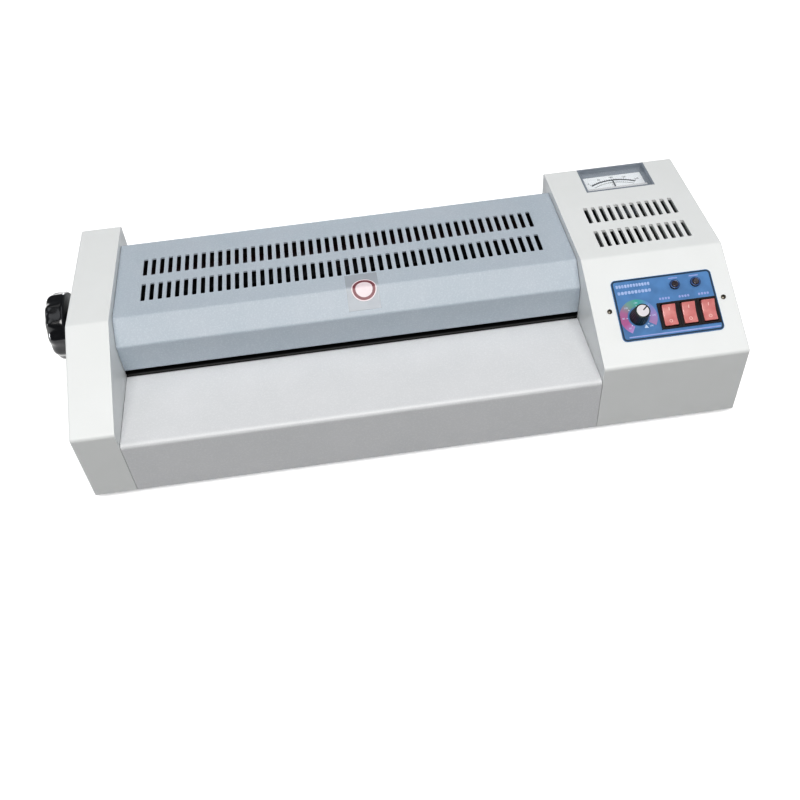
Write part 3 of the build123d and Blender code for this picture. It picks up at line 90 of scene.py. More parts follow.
class Mark(Enum):
    """The two generic marks of a switch: a bar for on and a ring for off."""

    ON = "on"
    OFF = "off"


def linear(code: str) -> tuple[float, float, float, float]:
    """Turns an sRGB hex colour into linear light.

    Args:
        code: Six hex digits, red first.

    Returns:
        Red, green and blue as linear light, and full alpha.
    """
    channels = np.array([int(code[start : start + 2], 16) for start in (0, 2, 4)]) / 255
    light = np.where(channels <= 0.04045, channels / 12.92, ((channels + 0.055) / 1.055) ** 2.4)
    return (*light.tolist(), 1.0)


def add_node(
    tree: bpy.types.NodeTree, kind: str, inputs: dict[str | int, Any] | None = None, **settings: Any
) -> bpy.types.Node:
    """Adds a node with its settings and links.

    Args:
        tree: The material's node tree.
        kind: The node's type name.
        inputs: A value for each named or numbered input, or the output that feeds it.
        **settings: Properties of the node itself.

    Returns:
        The new node.
    """
    node = tree.nodes.new(kind)
    for name, value in settings.items():
        setattr(node, name, value)
    for name, value in (inputs or {}).items():
        if isinstance(value, bpy.types.NodeSocket):
            tree.links.new(value, node.inputs[name])
        else:
            node.inputs[name].default_value = value
    return node


def noise(
    tree: bpy.types.NodeTree, place: bpy.types.NodeSocket, size: float, detail: float = 2.0
) -> bpy.types.Node:
    """Adds soft noise whose blobs have a real size.

    Args:
        tree: The material's node tree.
        place: The coordinates the noise follows, in metres.
        size: The blobs' size in millimetres.
        detail: How many finer layers lie on the blobs.

    Returns:
        The noise node.
    """
    inputs = {"Vector": place, "Scale": 1 / (size * MM), "Detail": detail, "Roughness": NOISE_ROUGHNESS}
    return add_node(tree, "ShaderNodeTexNoise", inputs)


def faded(
    tree: bpy.types.NodeTree, pattern: bpy.types.Node, fade: tuple[float, float], most: float
) -> bpy.types.NodeSocket:
    """Turns a noise into a share that rises from nought to its most between two of the noise's values.

    Args:
        tree: The material's node tree.
        pattern: The noise node.
        fade: The values where the share starts to rise and where it is full.
        most: The share when it is full.

    Returns:
        The share.
    """
    inputs = {"Value": pattern.outputs["Fac"], "From Min": fade[0], "From Max": fade[1], "To Max": most}
    return add_node(tree, "ShaderNodeMapRange", inputs).outputs["Result"]


@dataclass(frozen=True)
class Finish:
    """A plain finish, and the base of the patterned ones.

    Attributes:
        name: The material's name.
        slot: The record's material slot that it belongs to; not used.
        colour: The main colour as sRGB hex.
        roughness: The shader's roughness.
        metallic: One for bare metal, else nought.
        coat: The weight of a clear gloss over the colour.
        coat_roughness: The roughness of that gloss.
        drift: How far the colour strays, as a share of the second colour.
        drift_colour: The second colour as sRGB hex.
        drift_size: The size of the patches of the second colour, in millimetres.
        grain: The size of the surface's grain, in millimetres.
        grain_depth: The height of that grain, in millimetres.
    """

    name: str
    slot: str
    colour: str
    roughness: float
    metallic: float = 0.0
    coat: float = 0.0
    coat_roughness: float = 0.1
    drift: float = 0.25
    drift_colour: str = "8C8C8C"
    drift_size: float = 45.0
    grain: float = 0.8
    grain_depth: float = 0.01

    def build(self) -> bpy.types.Material:
        """Makes the material, or gives the one that was made before."""
        made = bpy.data.materials.get(self.name)
        if made is not None:
            return made
        material = bpy.data.materials.new(self.name)
        material.use_nodes = True
        material.diffuse_color = linear(self.colour)
        tree = material.node_tree
        tree.nodes.clear()
        place = add_node(tree, "ShaderNodeTexCoord").outputs["Object"]
        shader = add_node(tree, "ShaderNodeBsdfPrincipled", self.sockets())
        self.paint(tree, shader, place)
        self.roughen(tree, shader, place)
        add_node(tree, "ShaderNodeOutputMaterial", {"Surface": shader.outputs["BSDF"]})
        return material

    def sockets(self) -> dict[str, Any]:
        """Gives the shader's values that are the same all over."""
        return {
            "Roughness": self.roughness,
            "Metallic": self.metallic,
            "Coat Weight": self.coat,
            "Coat Roughness": self.coat_roughness,
        }

    def paint(self, tree: bpy.types.NodeTree, shader: bpy.types.Node, place: bpy.types.NodeSocket) -> None:
        """Colours the surface with slow patches of the second colour.

        Args:
            tree: The material's node tree.
            shader: The node to colour.
            place: The coordinates that the pattern follows.
        """
        patches = noise(tree, place, self.drift_size)
        share = faded(tree, patches, PATCH_FADE, self.drift)
        self.mix_into(tree, shader, share, linear(self.colour), linear(self.drift_colour))

    @staticmethod
    def mix_into(
        tree: bpy.types.NodeTree, shader: bpy.types.Node, share: bpy.types.NodeSocket, first: Any, second: Any
    ) -> None:
        """Mixes two colours by a share and feeds the shader's colour.

        Args:
            tree: The material's node tree.
            shader: The node to colour.
            share: Nought gives the first colour and one the second.
            first: A colour or the output that gives it.
            second: A colour or the output that gives it.
        """
        mixed = add_node(tree, "ShaderNodeMix", {"Factor": share, 6: first, 7: second}, data_type="RGBA")
        tree.links.new(mixed.outputs[2], shader.inputs["Base Color"])

    def roughen(self, tree: bpy.types.NodeTree, shader: bpy.types.Node, place: bpy.types.NodeSocket) -> None:
        """Raises the fine grain of the surface.

        Args:
            tree: The material's node tree.
            shader: The node whose normal is bent.
            place: The coordinates that the grain follows.
        """
        grain = noise(tree, place, self.grain, 3.0)
        bump = add_node(
            tree,
            "ShaderNodeBump",
            {"Height": grain.outputs["Fac"], "Distance": self.grain_depth * MM, "Strength": 1.0},
        )
        tree.links.new(bump.outputs["Normal"], shader.inputs["Normal"])


@dataclass(frozen=True)
class Speckled(Finish):
    """A textured powder coat: baked flecks of a second tone in a softly pebbled skin.

    Attributes:
        fleck_colour: The flecks' colour as sRGB hex.
        fleck_size: The distance between flecks, in millimetres.
        fleck_share: How strongly the flecks show.
    """

    fleck_colour: str = "FFFFFF"
    fleck_size: float = 1.6
    fleck_share: float = 0.5

    def paint(self, tree: bpy.types.NodeTree, shader: bpy.types.Node, place: bpy.types.NodeSocket) -> None:
        """Colours the coat with patches, then with flecks over them.

        Args:
            tree: The material's node tree.
            shader: The node to colour.
            place: The coordinates that the flecks follow.
        """
        patches = noise(tree, place, self.drift_size)
        ground = add_node(
            tree,
            "ShaderNodeMix",
            {"Factor": patches.outputs["Fac"], 6: linear(self.colour), 7: linear(self.drift_colour)},
            data_type="RGBA",
        )
        flecks = noise(tree, place, self.fleck_size, 4.0)
        share = faded(tree, flecks, FLECK_FADE, self.fleck_share)
        self.mix_into(tree, shader, share, ground.outputs[2], linear(self.fleck_colour))


@dataclass(frozen=True)
class Drawn(Finish):
    """A metal with fine lines along one axis, left by rolling, drawing or grinding.

    Attributes:
        line_width: The lines' width in millimetres.
        line_length: How many times longer than wide the lines are.
        along: The axis of the lines, as nought, one or two.
    """

    line_width: float = 0.5
    line_length: float = 40.0
    along: int = 0

    def roughen(self, tree: bpy.types.NodeTree, shader: bpy.types.Node, place: bpy.types.NodeSocket) -> None:
        """Draws the lines into the roughness and the height.

        Args:
            tree: The material's node tree.
            shader: The node to change.
            place: The coordinates that the lines follow.
        """
        stretch = [1.0, 1.0, 1.0]
        stretch[self.along] = 1 / self.line_length
        drawn = add_node(tree, "ShaderNodeMapping", {"Vector": place, "Scale": stretch})
        lines = noise(tree, drawn.outputs["Vector"], self.line_width, 3.0)
        smoothest, roughest = self.roughness * (1 - LINE_CONTRAST), self.roughness * (1 + LINE_CONTRAST)
        inputs = {"Value": lines.outputs["Fac"], "To Min": smoothest, "To Max": roughest}
        rough = add_node(tree, "ShaderNodeMapRange", inputs)
        tree.links.new(rough.outputs["Result"], shader.inputs["Roughness"])
        bump = add_node(
            tree, "ShaderNodeBump", {"Height": lines.outputs["Fac"], "Distance": self.grain_depth * MM}
        )
        tree.links.new(bump.outputs["Normal"], shader.inputs["Normal"])


@dataclass(frozen=True)
class Banded(Finish):
    """A printed band whose colour runs along it, read from the piece's own attribute.

    Attributes:
        stops: Pairs of a place along the band and an sRGB hex colour.
    """

    stops: tuple[tuple[float, str], ...] = ((0.0, "FFFFFF"), (1.0, "000000"))

    def paint(self, tree: bpy.types.NodeTree, shader: bpy.types.Node, place: bpy.types.NodeSocket) -> None:
        """Colours the band from its start to its end.

        Args:
            tree: The material's node tree.
            shader: The node to colour.
            place: Coordinates for the faint mottling of the ink.
        """
        along = add_node(tree, "ShaderNodeAttribute", attribute_name="along")
        ramp = add_node(tree, "ShaderNodeValToRGB", {"Fac": along.outputs["Fac"]})
        stops = ramp.color_ramp.elements
        while len(stops) < len(self.stops):
            stops.new(1.0)
        for stop, (position, colour) in zip(stops, self.stops):
            stop.position = position
            stop.color = linear(colour)
        mottle = noise(tree, place, self.drift_size)
        share = add_node(tree, "ShaderNodeMapRange", {"Value": mottle.outputs["Fac"], "To Max": self.drift})
        self.mix_into(tree, shader, share.outputs["Result"], ramp.outputs["Color"], linear(self.drift_colour))


@dataclass(frozen=True)
class Clear(Finish):
    """A thin clear moulding that light passes through unbent.

    Attributes:
        body: How much of the light its own surface takes.
    """

    body: float = 0.07

    def sockets(self) -> dict[str, Any]:
        """Adds the clearness to the values that are the same all over."""
        return {**super().sockets(), "Alpha": self.body}


@dataclass(frozen=True)
class Lit(Finish):
    """Paper with a light behind it.

    Attributes:
        glow: The strength of that light.
    """

    glow: float = 0.14

    def sockets(self) -> dict[str, Any]:
        """Adds the glow to the values that are the same all over."""
        return {**super().sockets(), "Emission Color": linear(self.colour), "Emission Strength": self.glow}


class Finishes:
    """All the finishes of the machine, each named for its material."""

    # Injection-moulded ABS from a spark-eroded mould: cool white, satin, with a fine pebbled grain
    moulded_abs = Finish(
        "moulded_abs", "casing_white", "E3E5E5", 0.42, drift=0.06, drift_colour="C6C8C2", drift_size=30.0,
        grain=1.3, grain_depth=0.05,
    )
    # Textured powder coat on bent steel sheet: blue-grey with pale flecks
    grey_powder_coat = Speckled(
        "grey_powder_coat", "cover_grey", "AFBAC3", 0.48, drift_colour="BAC1C9", drift_size=30.0,
        grain=1.2, grain_depth=0.055, fleck_colour="CAD2D8", fleck_size=1.2, fleck_share=0.4,
    )
    # The same coat in a pale warm grey on the two trays
    pale_powder_coat = Speckled(
        "pale_powder_coat", "tray_light", "DCDDDF", 0.45, drift_colour="D4D6D8", drift_size=30.0,
        grain=1.2, grain_depth=0.04, fleck_colour="E9EAEC", fleck_size=1.2, fleck_share=0.3,
    )
    # Zinc-plated steel sheet: dull silver with rolling lines
    zinc_sheet = Drawn(
        "zinc_sheet", "pan_zinc", "B9BCC0", 0.38, metallic=1.0,
        drift=0.4, drift_colour="9DA3A9", drift_size=9.0,
    )
    # Ground bar steel: bright, with fine lines along the bar
    ground_steel = Drawn("ground_steel", "roller_steel", "C2C4C7", 0.22, metallic=1.0, line_width=0.3)
    # Phosphated steel of the tie bars: charcoal, matt, and kept this dark partly as painted shade, so no
    # highlight shows through the vents
    phosphated_steel_and_shade = Finish(
        "phosphated_steel_and_shade", "roller_steel", "2E2F31", 0.6, drift_colour="3A3B3D", drift_size=5.0,
        grain=0.5,
    )
    # Black oxide on screws: near black with a dull metal gloss
    black_oxide = Finish(
        "black_oxide", "screw_black", "807C74", 0.42, metallic=1.0, drift_colour="5E5B56", drift_size=4.0
    )
    # Moulded silicone sleeve: matt brick red
    silicone = Finish(
        "silicone", "silicone", "4E2A23", 0.62, drift_colour="3F231E", drift_size=20.0, grain=0.6
    )
    # Moulded rubber feet: matt black
    foot_rubber = Finish(
        "foot_rubber", "feet_rubber", "242424", 0.7, drift_colour="303030", grain=0.7, grain_depth=0.03
    )
    # Compression-moulded phenolic of the hand wheel: deep glossy black
    black_phenolic = Finish(
        "black_phenolic", "wheel_black", "15161A", 0.26, coat=1.0, coat_roughness=0.12,
        drift_colour="202124", drift_size=12.0, grain=2.2, grain_depth=0.012,
    )
    # Natural nylon of the gears: ivory, slightly waxy
    nylon = Finish("nylon", "gear_nylon", "E4DFCF", 0.4, drift_colour="D3CCB8", drift_size=10.0)
    # Sintered bronze of the bearings: dull gold with dark pores
    sintered_bronze = Finish(
        "sintered_bronze", "bearing_bronze", "B08D57", 0.42, metallic=1.0,
        drift_colour="8A6A3D", drift_size=2.0, grain=0.4,
    )
    # Hard-anodised extrusion of the heating shoes: dark grey with die lines
    anodised_extrusion = Drawn("anodised_extrusion", "shoe_aluminium", "3B3D41", 0.42, metallic=1.0)
    # Matt black on the guide plates: painted shade, so the feed slots under the covers' lips read dark inside
    guide_slot_shade = Finish(
        "guide_slot_shade", "screw_black", "1B1C1D", 0.55, drift_colour="262626", drift_size=12.0
    )
    # Screen-printed polyester film of the control plate: mid blue under a semi-gloss skin
    blue_film = Finish(
        "blue_film", "panel_blue", "5F8DBE", 0.38, coat=0.25, coat_roughness=0.25,
        drift=0.6, drift_colour="4C739E", drift_size=12.0, grain=0.9, grain_depth=0.006,
    )
    # Screen inks on that film and on the dial
    dark_ink = Finish("dark_ink", "switch_black", "2B4257", 0.4, drift_colour="3A5266", drift_size=6.0)
    black_ink = Finish("black_ink", "switch_black", "33393F", 0.45, drift_colour="454B50", drift_size=5.0)
    pale_ink = Finish(
        "pale_ink", "dial_card", "D3DFF2", 0.42, drift=0.45, drift_colour="9DB8E0", drift_size=3.0
    )
    faint_ink = Finish(
        "faint_ink", "panel_blue", "B4C4E6", 0.42, drift=0.6, drift_colour="86A2D2", drift_size=2.5
    )
    violet_ink = Finish(
        "violet_ink", "panel_blue", "A6B0DC", 0.42, drift=0.5, drift_colour="8599CE", drift_size=4.0
    )
    red_ink = Finish("red_ink", "label_film", "7D474E", 0.4, drift=0.6, drift_colour="93666C", drift_size=3.0)
    heat_band = Banded(
        "heat_band", "panel_blue", "D585A8", 0.4, drift=0.12, drift_colour="5C7FC4", drift_size=3.0,
        stops=(
            (0.0, "B08CB6"), (0.14, "A58DC0"), (0.3, "6C92C2"), (0.43, "48A898"), (0.56, "7CA094"),
            (0.7, "AE7096"), (0.87, "B9699A"), (1.0, "B398CE"),
        ),
    )
    # Tinted acrylic of the rockers: red, glossy, with a little light in its edges; the red is lightened to
    # salmon pink, partly a painted sheen of the bright room on the gloss
    rocker_acrylic_and_sheen = Finish(
        "rocker_acrylic_and_sheen", "rocker_red", "C97B7B", 0.3, coat=0.6, coat_roughness=0.16,
        drift=0.6, drift_colour="DC9A93", drift_size=5.0, grain=2.5, grain_depth=0.01,
    )
    rocker_ink = Finish("rocker_ink", "dial_card", "EBC4BD", 0.4, drift_colour="E5C4C0", drift_size=1.0)
    # Glass-filled nylon of the switch bodies and lamp bodies: satin black
    switch_nylon = Finish(
        "switch_nylon", "switch_black", "1D1618", 0.42, drift_colour="2A2022", drift_size=6.0, grain=0.7
    )
    # Moulded knob body: dark green-black, satin
    knob_moulding = Finish(
        "knob_moulding", "knob_dark", "20302B", 0.3, coat=0.3, drift_colour="2B3D38", drift_size=5.0
    )
    # Spun cap of the knob in satin silver lacquer
    silver_lacquer = Finish(
        "silver_lacquer", "cap_silver", "DCD9DC", 0.3, drift=0.2, drift_colour="C4BFC6", drift_size=4.0
    )
    # Blue stove enamel on the rims round the pilot lamps
    blue_enamel = Finish(
        "blue_enamel", "panel_blue", "38598F", 0.3, coat=0.6, coat_roughness=0.15,
        drift_colour="274069", drift_size=3.0,
    )
    # Tinted lens that is dark while the lamp is off
    tinted_lens = Finish(
        "tinted_lens", "lens_dark", "2B1A26", 0.12, coat=1.0, coat_roughness=0.04, drift_size=2.0,
        drift=0.2,
    )
    # Smooth moulded ABS of the meter's well: dark blue-grey
    meter_abs = Finish(
        "meter_abs", "meter_grey", "8F969F", 0.36, drift_colour="7F868E", drift_size=16.0, grain=0.9
    )
    # Coated card of the dial: cool white
    dial_card = Finish(
        "dial_card", "dial_card", "FBFDFF", 0.6, drift=0.1, drift_colour="E4EBF1", drift_size=9.0
    )
    # Moulded skirt over the foot of the dial: pale grey, satin
    skirt_abs = Finish("skirt_abs", "meter_grey", "D9DADC", 0.42, drift_colour="CDCFD2", drift=0.2, grain=1.0)
    # Cast acrylic of the meter's window
    cast_acrylic = Clear(
        "cast_acrylic", "window_clear", "F4F9FD", 0.04, drift=0.02, drift_colour="EAF2F8",
        grain_depth=0.0005,
    )
    # Thin vinyl of the label: milky, so the cover shows through it
    vinyl_film = Clear(
        "vinyl_film", "label_film", "D9DFE6", 0.34, coat=0.3, coat_roughness=0.2,
        drift=0.4, drift_colour="CFD3DB", drift_size=8.0, grain=1.4, grain_depth=0.012, body=0.5,
    )
    # White ground printed on it under the ring
    white_ink = Finish(
        "white_ink", "label_film", "E6DADE", 0.4, drift=0.5, drift_colour="D3C6CC", drift_size=5.0
    )
    # Green solder mask over the control board
    solder_mask = Finish(
        "solder_mask", "board_green", "1F5B38", 0.34, coat=0.4, drift_colour="2A6E46", drift_size=3.0
    )
    # Drawn steel can of the gearmotor and of the potentiometer
    drawn_can = Drawn("drawn_can", "motor_steel", "AEB1B4", 0.3, metallic=1.0)


@dataclass(frozen=True)
class Shell:
    """A closed surface.

    Attributes:
        points: One row of three coordinates in millimetres for each point.
        quads: One row of four point numbers for each four-sided face.
        triangles: One row of three point numbers for each triangle.
        along: One value for each point, for finishes that run along a piece.
    """

    points: Array
    quads: Array
    triangles: Array
    along: Array

    @classmethod
    def stacked(cls, rings: Array) -> "Shell":
        """Joins a stack of rings and closes each end with a pole in its middle.

        Face k of level i joins points k and k + 1 of ring i to those of ring i + 1.

        Args:
            rings: Points as (level, around, coordinate).

        Returns:
            The closed shell.
        """
        levels, around = rings.shape[:2]
        number = np.arange(levels * around).reshape(levels, around)
        ahead = np.roll(number, -1, axis=1)
        quads = np.stack([number[:-1], ahead[:-1], ahead[1:], number[1:]], axis=-1).reshape(-1, 4)
        poles = levels * around + np.arange(2)
        start = np.stack([np.full(around, poles[0]), ahead[0], number[0]], axis=-1)
        end = np.stack([np.full(around, poles[1]), number[-1], ahead[-1]], axis=-1)
        points = np.concatenate([rings.reshape(-1, 3), rings[[0, -1]].mean(axis=1)])
        level_share = np.repeat(np.linspace(0, 1, levels), around)
        along = np.concatenate([level_share, [0.0, 1.0]])
        return cls(points, quads, np.concatenate([start, end]), along).outward()

    @classmethod
    def looped(cls, rings: Array) -> "Shell":
        """Joins rings into a closed loop, the last to the first.

        Args:
            rings: Points as (ring, around, coordinate).

        Returns:
            The closed shell.
        """
        levels, around = rings.shape[:2]
        number = np.arange(levels * around).reshape(levels, around)
        ahead = np.roll(number, -1, axis=1)
        quads = np.stack([number, ahead, np.roll(ahead, -1, axis=0), np.roll(number, -1, axis=0)], axis=-1)
        along = np.repeat(np.linspace(0, 1, levels), around)
        return cls(rings.reshape(-1, 3), quads.reshape(-1, 4), np.empty((0, 3), int), along).outward()

    def outward(self) -> "Shell":
        """Turns all faces over if the volume that they enclose counts as negative."""
        split = np.concatenate([self.quads[:, [0, 1, 2]], self.quads[:, [0, 2, 3]], self.triangles])
        centred = self.points - self.points.mean(axis=0)
        first, second, third = (centred[split[:, corner]] for corner in range(3))
        if np.einsum("ij,ij->i", first, np.cross(second, third)).sum() >= 0:
            return self
        return Shell(self.points, self.quads[:, ::-1], self.triangles[:, ::-1], self.along)


def joined(shells: Sequence[Shell]) -> Shell:
    """Puts several shells into one set of arrays.

    Args:
        shells: The shells, which stay apart from each other.

    Returns:
        One shell with the points and faces of all.
    """
    starts = np.cumsum([0] + [len(shell.points) for shell in shells[:-1]])
    return Shell(
        np.concatenate([shell.points for shell in shells]),
        np.concatenate([shell.quads + start for shell, start in zip(shells, starts)]),
        np.concatenate([shell.triangles + start for shell, start in zip(shells, starts)]),
        np.concatenate([shell.along for shell in shells]),
    )


def add_piece(
    name: str, shells: Sequence[Shell], finish: Finish, body: Body, sharp: float = 35.0
) -> bpy.types.Object:
    """Makes a mesh object of shells, dresses it and lets it ride.

    Args:
        name: The piece's name.
        shells: Its closed surfaces, in millimetres.
        finish: Its finish.
        body: The body that it rides on.
        sharp: Edges that turn by more than this many degrees stay sharp.

    Returns:
        The new object.
    """
    shell = joined(shells)
    mesh = bpy.data.meshes.new(name)
    mesh.from_pydata((shell.points * MM).tolist(), [], shell.quads.tolist() + shell.triangles.tolist())
    mesh.polygons.foreach_set("use_smooth", np.ones(len(mesh.polygons), bool))
    mesh.set_sharp_from_angle(angle=math.radians(sharp))
    mesh.attributes.new("along", "FLOAT", "POINT").data.foreach_set("value", shell.along.astype(np.float32))
    mesh.validate()
    mesh.materials.append(finish.build())
    piece = bpy.data.objects.new(name, mesh)
    bpy.context.scene.collection.objects.link(piece)
    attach(piece, body.value)
    log.info("%s: %d points on %s", name, len(shell.points), body.value)
    return piece


def dress(nodes: Sequence[str], finish: Finish) -> None:
    """Gives CAD nodes a finish in place of their plain one.

    Args:
        nodes: The nodes' names.
        finish: The finish for all of them.
    """
    for name in nodes:
        materials = frame["nodes"][name].data.materials
        for index in range(len(materials)):
            materials[index] = finish.build()
        log.info("%s: %s", name, finish.name)


def box_mm(node: str) -> tuple[Array, Array]:
    """Gives a CAD node's lowest and highest corner in millimetres."""
    low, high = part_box(node)
    return np.array(low) / MM, np.array(high) / MM


def joint_place(name: str) -> tuple[Array, Array]:
    """Gives a joint's position in millimetres and its axis."""
    joint = next(joint for joint in frame["joints"] if joint["name"] == name)
    return np.array(joint["pos_m"]) / MM, np.array(joint["axis"], float)


@dataclass(frozen=True)
class Seat:
    """A plane on the machine that pieces are laid out on.

    Attributes:
        origin: Its origin in millimetres.
        right: The unit direction of the first coordinate.
        up: The unit direction of the second coordinate.
        out: The unit direction away from the machine.
    """

    origin: Array
    right: Array
    up: Array
    out: Array

    def place(self, local: Array) -> Array:
        """Turns coordinates on the plane into the machine's, along the last axis."""
        return self.origin + local @ np.stack([self.right, self.up, self.out])

    def local(self, point: Array) -> Array:
        """Turns a point of the machine into coordinates on the plane."""
        return np.stack([self.right, self.up, self.out]) @ (point - self.origin)

    def tilted(self, origin: Array, degrees: float) -> "Seat":
        """Gives the plane at another origin, turned about its first direction."""
        turn = math.radians(degrees)
        up = self.up * math.cos(turn) + self.out * math.sin(turn)
        out = self.out * math.cos(turn) - self.up * math.sin(turn)
        return Seat(origin, self.right, up, out)


def circle(radius: float, count: int) -> Array:
    """Gives points at equal angles round a circle."""
    angle = np.linspace(0, FULL_TURN, count, endpoint=False)
    return radius * np.stack([np.cos(angle), np.sin(angle)], axis=-1)


def rounded_box(width: float, length: float, corner: float, steps: int = 6) -> Array:
    """Gives the outline of a rectangle with round corners.

    Each quarter is an arc of the corner's radius about a point that lies one radius inside two sides.

    Args:
        width: The size along the first coordinate.
        length: The size along the second.
        corner: The corners' radius.
        steps: Points in each corner.

    Returns:
        Points as (around, coordinate).
    """
    quarter = np.linspace(0, math.pi / 2, steps)
    starts = np.arange(4) * math.pi / 2
    angle = starts[:, None] + quarter
    signs = np.array([[1, 1], [-1, 1], [-1, -1], [1, -1]])
    centres = signs * (np.array([width, length]) / 2 - corner)
    arcs = np.stack([np.cos(angle), np.sin(angle)], axis=-1) * corner
    return (centres[:, None] + arcs).reshape(-1, 2)


def at_height(outline: Array, height: float | Array) -> Array:
    """Adds a third coordinate to the points of an outline."""
    return np.concatenate([outline, np.broadcast_to(height, (*outline.shape[:-1], 1))], axis=-1)


def pad(outline: Array, centre: Sequence[float], low: float, high: float, edge: float = 0.0) -> Array:
    """Gives the rings of a flat-topped pad with a bevelled edge.

    The outline rises straight from the low height, then draws in by the edge as it reaches the high one.

    Args:
        outline: The pad's outline about its own middle.
        centre: Where that middle lies.
        low: The height of its foot.
        high: The height of its top.
        edge: The bevel's size.

    Returns:
        Rings as (level, around, coordinate).
    """
    drawn_in = outline * (1 - edge / np.abs(outline).max(axis=0))
    rings = np.stack([at_height(outline, low), at_height(outline, high - edge), at_height(drawn_in, high)])
    return rings + np.array([*centre, 0.0])


def band(outer: Array, inner: Array, centre: Sequence[float], low: float, high: float) -> Array:
    """Gives the rings of a flat closed band between two outlines with as many points.

    Args:
        outer: The outline outside.
        inner: The outline inside.
        centre: Where their common middle lies.
        low: The height of the band's foot.
        high: The height of its top.

    Returns:
        Rings as (around, corner of the section, coordinate).
    """
    rings = [at_height(outer, low), at_height(outer, high), at_height(inner, high), at_height(inner, low)]
    return np.stack(rings, axis=1) + np.array([*centre, 0.0])


def arc(
    centre: Sequence[float],
    radius: float,
    width: float,
    span: tuple[float, float],
    heights: tuple[float, float],
) -> Array:
    """Gives the rings of a flat strip bent round part of a circle.

    The strip's four-cornered section is carried along the arc from the first angle to the second.

    Args:
        centre: The middle of the circle.
        radius: The radius of the strip's middle line.
        width: The strip's width.
        span: The first and the last angle in degrees, from the first coordinate towards the second.
        heights: The heights of the strip's foot and top.

    Returns:
        Rings as (along, corner of the section, coordinate).
    """
    steps = max(4, int(abs(span[1] - span[0]) / ARC_STEP))
    angle = np.radians(np.linspace(*span, steps))[:, None]
    reach = radius + np.array([-0.5, -0.5, 0.5, 0.5]) * width
    height = np.array([heights[0], heights[1], heights[1], heights[0]])
    flat = [centre[0] + reach * np.cos(angle), centre[1] + reach * np.sin(angle)]
    return np.stack([*flat, np.broadcast_to(height, flat[0].shape)], axis=-1)


def spoke(
    centre: Sequence[float],
    reach: tuple[float, float],
    width: float,
    degrees: float,
    heights: tuple[float, float],
) -> Array:
    """Gives the rings of a straight bar that lies along a radius.

    Args:
        centre: The middle that the radius starts from.
        reach: The distances of the bar's ends from it.
        width: The bar's width.
        degrees: The radius's angle.
        heights: The heights of the bar's foot and top.

    Returns:
        Rings as (level, around, coordinate).
    """
    turn = math.radians(degrees)
    outline = rounded_box(reach[1] - reach[0], width, width * 0.3, 3) + np.array([sum(reach) / 2, 0])
    turned = outline @ np.array([[math.cos(turn), math.sin(turn)], [-math.sin(turn), math.cos(turn)]])
    return np.stack([at_height(turned, heights[0]), at_height(turned, heights[1])]) + np.array([*centre, 0.0])


def turned(stations: Array, around: int, hollow: Callable[[Array, Array], Array] | None = None) -> Array:
    """Gives the rings of a profile turned about the third coordinate.

    A point at radius r and height h goes to (r cos a, r sin a, h) for each angle a, and hollow takes its
    share off r.

    Args:
        stations: Radius and height of each point of the profile.
        around: How many angles.
        hollow: The share of the radius that is taken off, from the stations and the angles.

    Returns:
        Rings as (level, around, coordinate).
    """
    angle = np.linspace(0, FULL_TURN, around, endpoint=False)
    radius = np.broadcast_to(stations[:, :1], (len(stations), around))
    if hollow is not None:
        radius = radius * (1 - hollow(stations, angle))
    height = np.broadcast_to(stations[:, 1:], radius.shape)
    return np.stack([radius * np.cos(angle), radius * np.sin(angle), height], axis=-1)


def quarter_round(
    centre: tuple[float, float], radius: float, start: float, end: float, steps: int = 6
) -> Array:
    """Gives radius and height along a rounded corner of a turned profile, from one angle to another."""
    angle = np.radians(np.linspace(start, end, steps))
    return np.stack([centre[0] + radius * np.cos(angle), centre[1] + radius * np.sin(angle)], axis=-1)


def lettering(seat: Seat, text: str, size: float, centre: Sequence[float], height: float) -> Shell:
    """Makes numbers as thin raised print.

    Args:
        seat: The plane that they lie on.
        text: The characters.
        size: Their size in millimetres.
        centre: Where their middle lies.
        height: The height of the print's top over the plane.

    Returns:
        The print's faces.
    """
    curve = bpy.data.curves.new(f"print_{text}", "FONT")
    curve.body = text
    curve.size = size
    curve.align_x = "CENTER"
    curve.align_y = "CENTER"
    curve.resolution_u = 2
    curve.extrude = INK_LIFT / 2
    holder = bpy.data.objects.new(curve.name, curve)
    mesh = bpy.data.meshes.new_from_object(holder)
    points = np.empty(len(mesh.vertices) * 3)
    mesh.vertices.foreach_get("co", points)
    points = points.reshape(-1, 3) + np.array([*centre, height - INK_LIFT / 2])
    mesh.calc_loop_triangles()
    corners = np.empty(len(mesh.loop_triangles) * 3, int)
    mesh.loop_triangles.foreach_get("vertices", corners)
    bpy.data.objects.remove(holder)
    bpy.data.curves.remove(curve)
    bpy.data.meshes.remove(mesh)
    return Shell(seat.place(points), np.empty((0, 4), int), corners.reshape(-1, 3), np.zeros(len(points)))


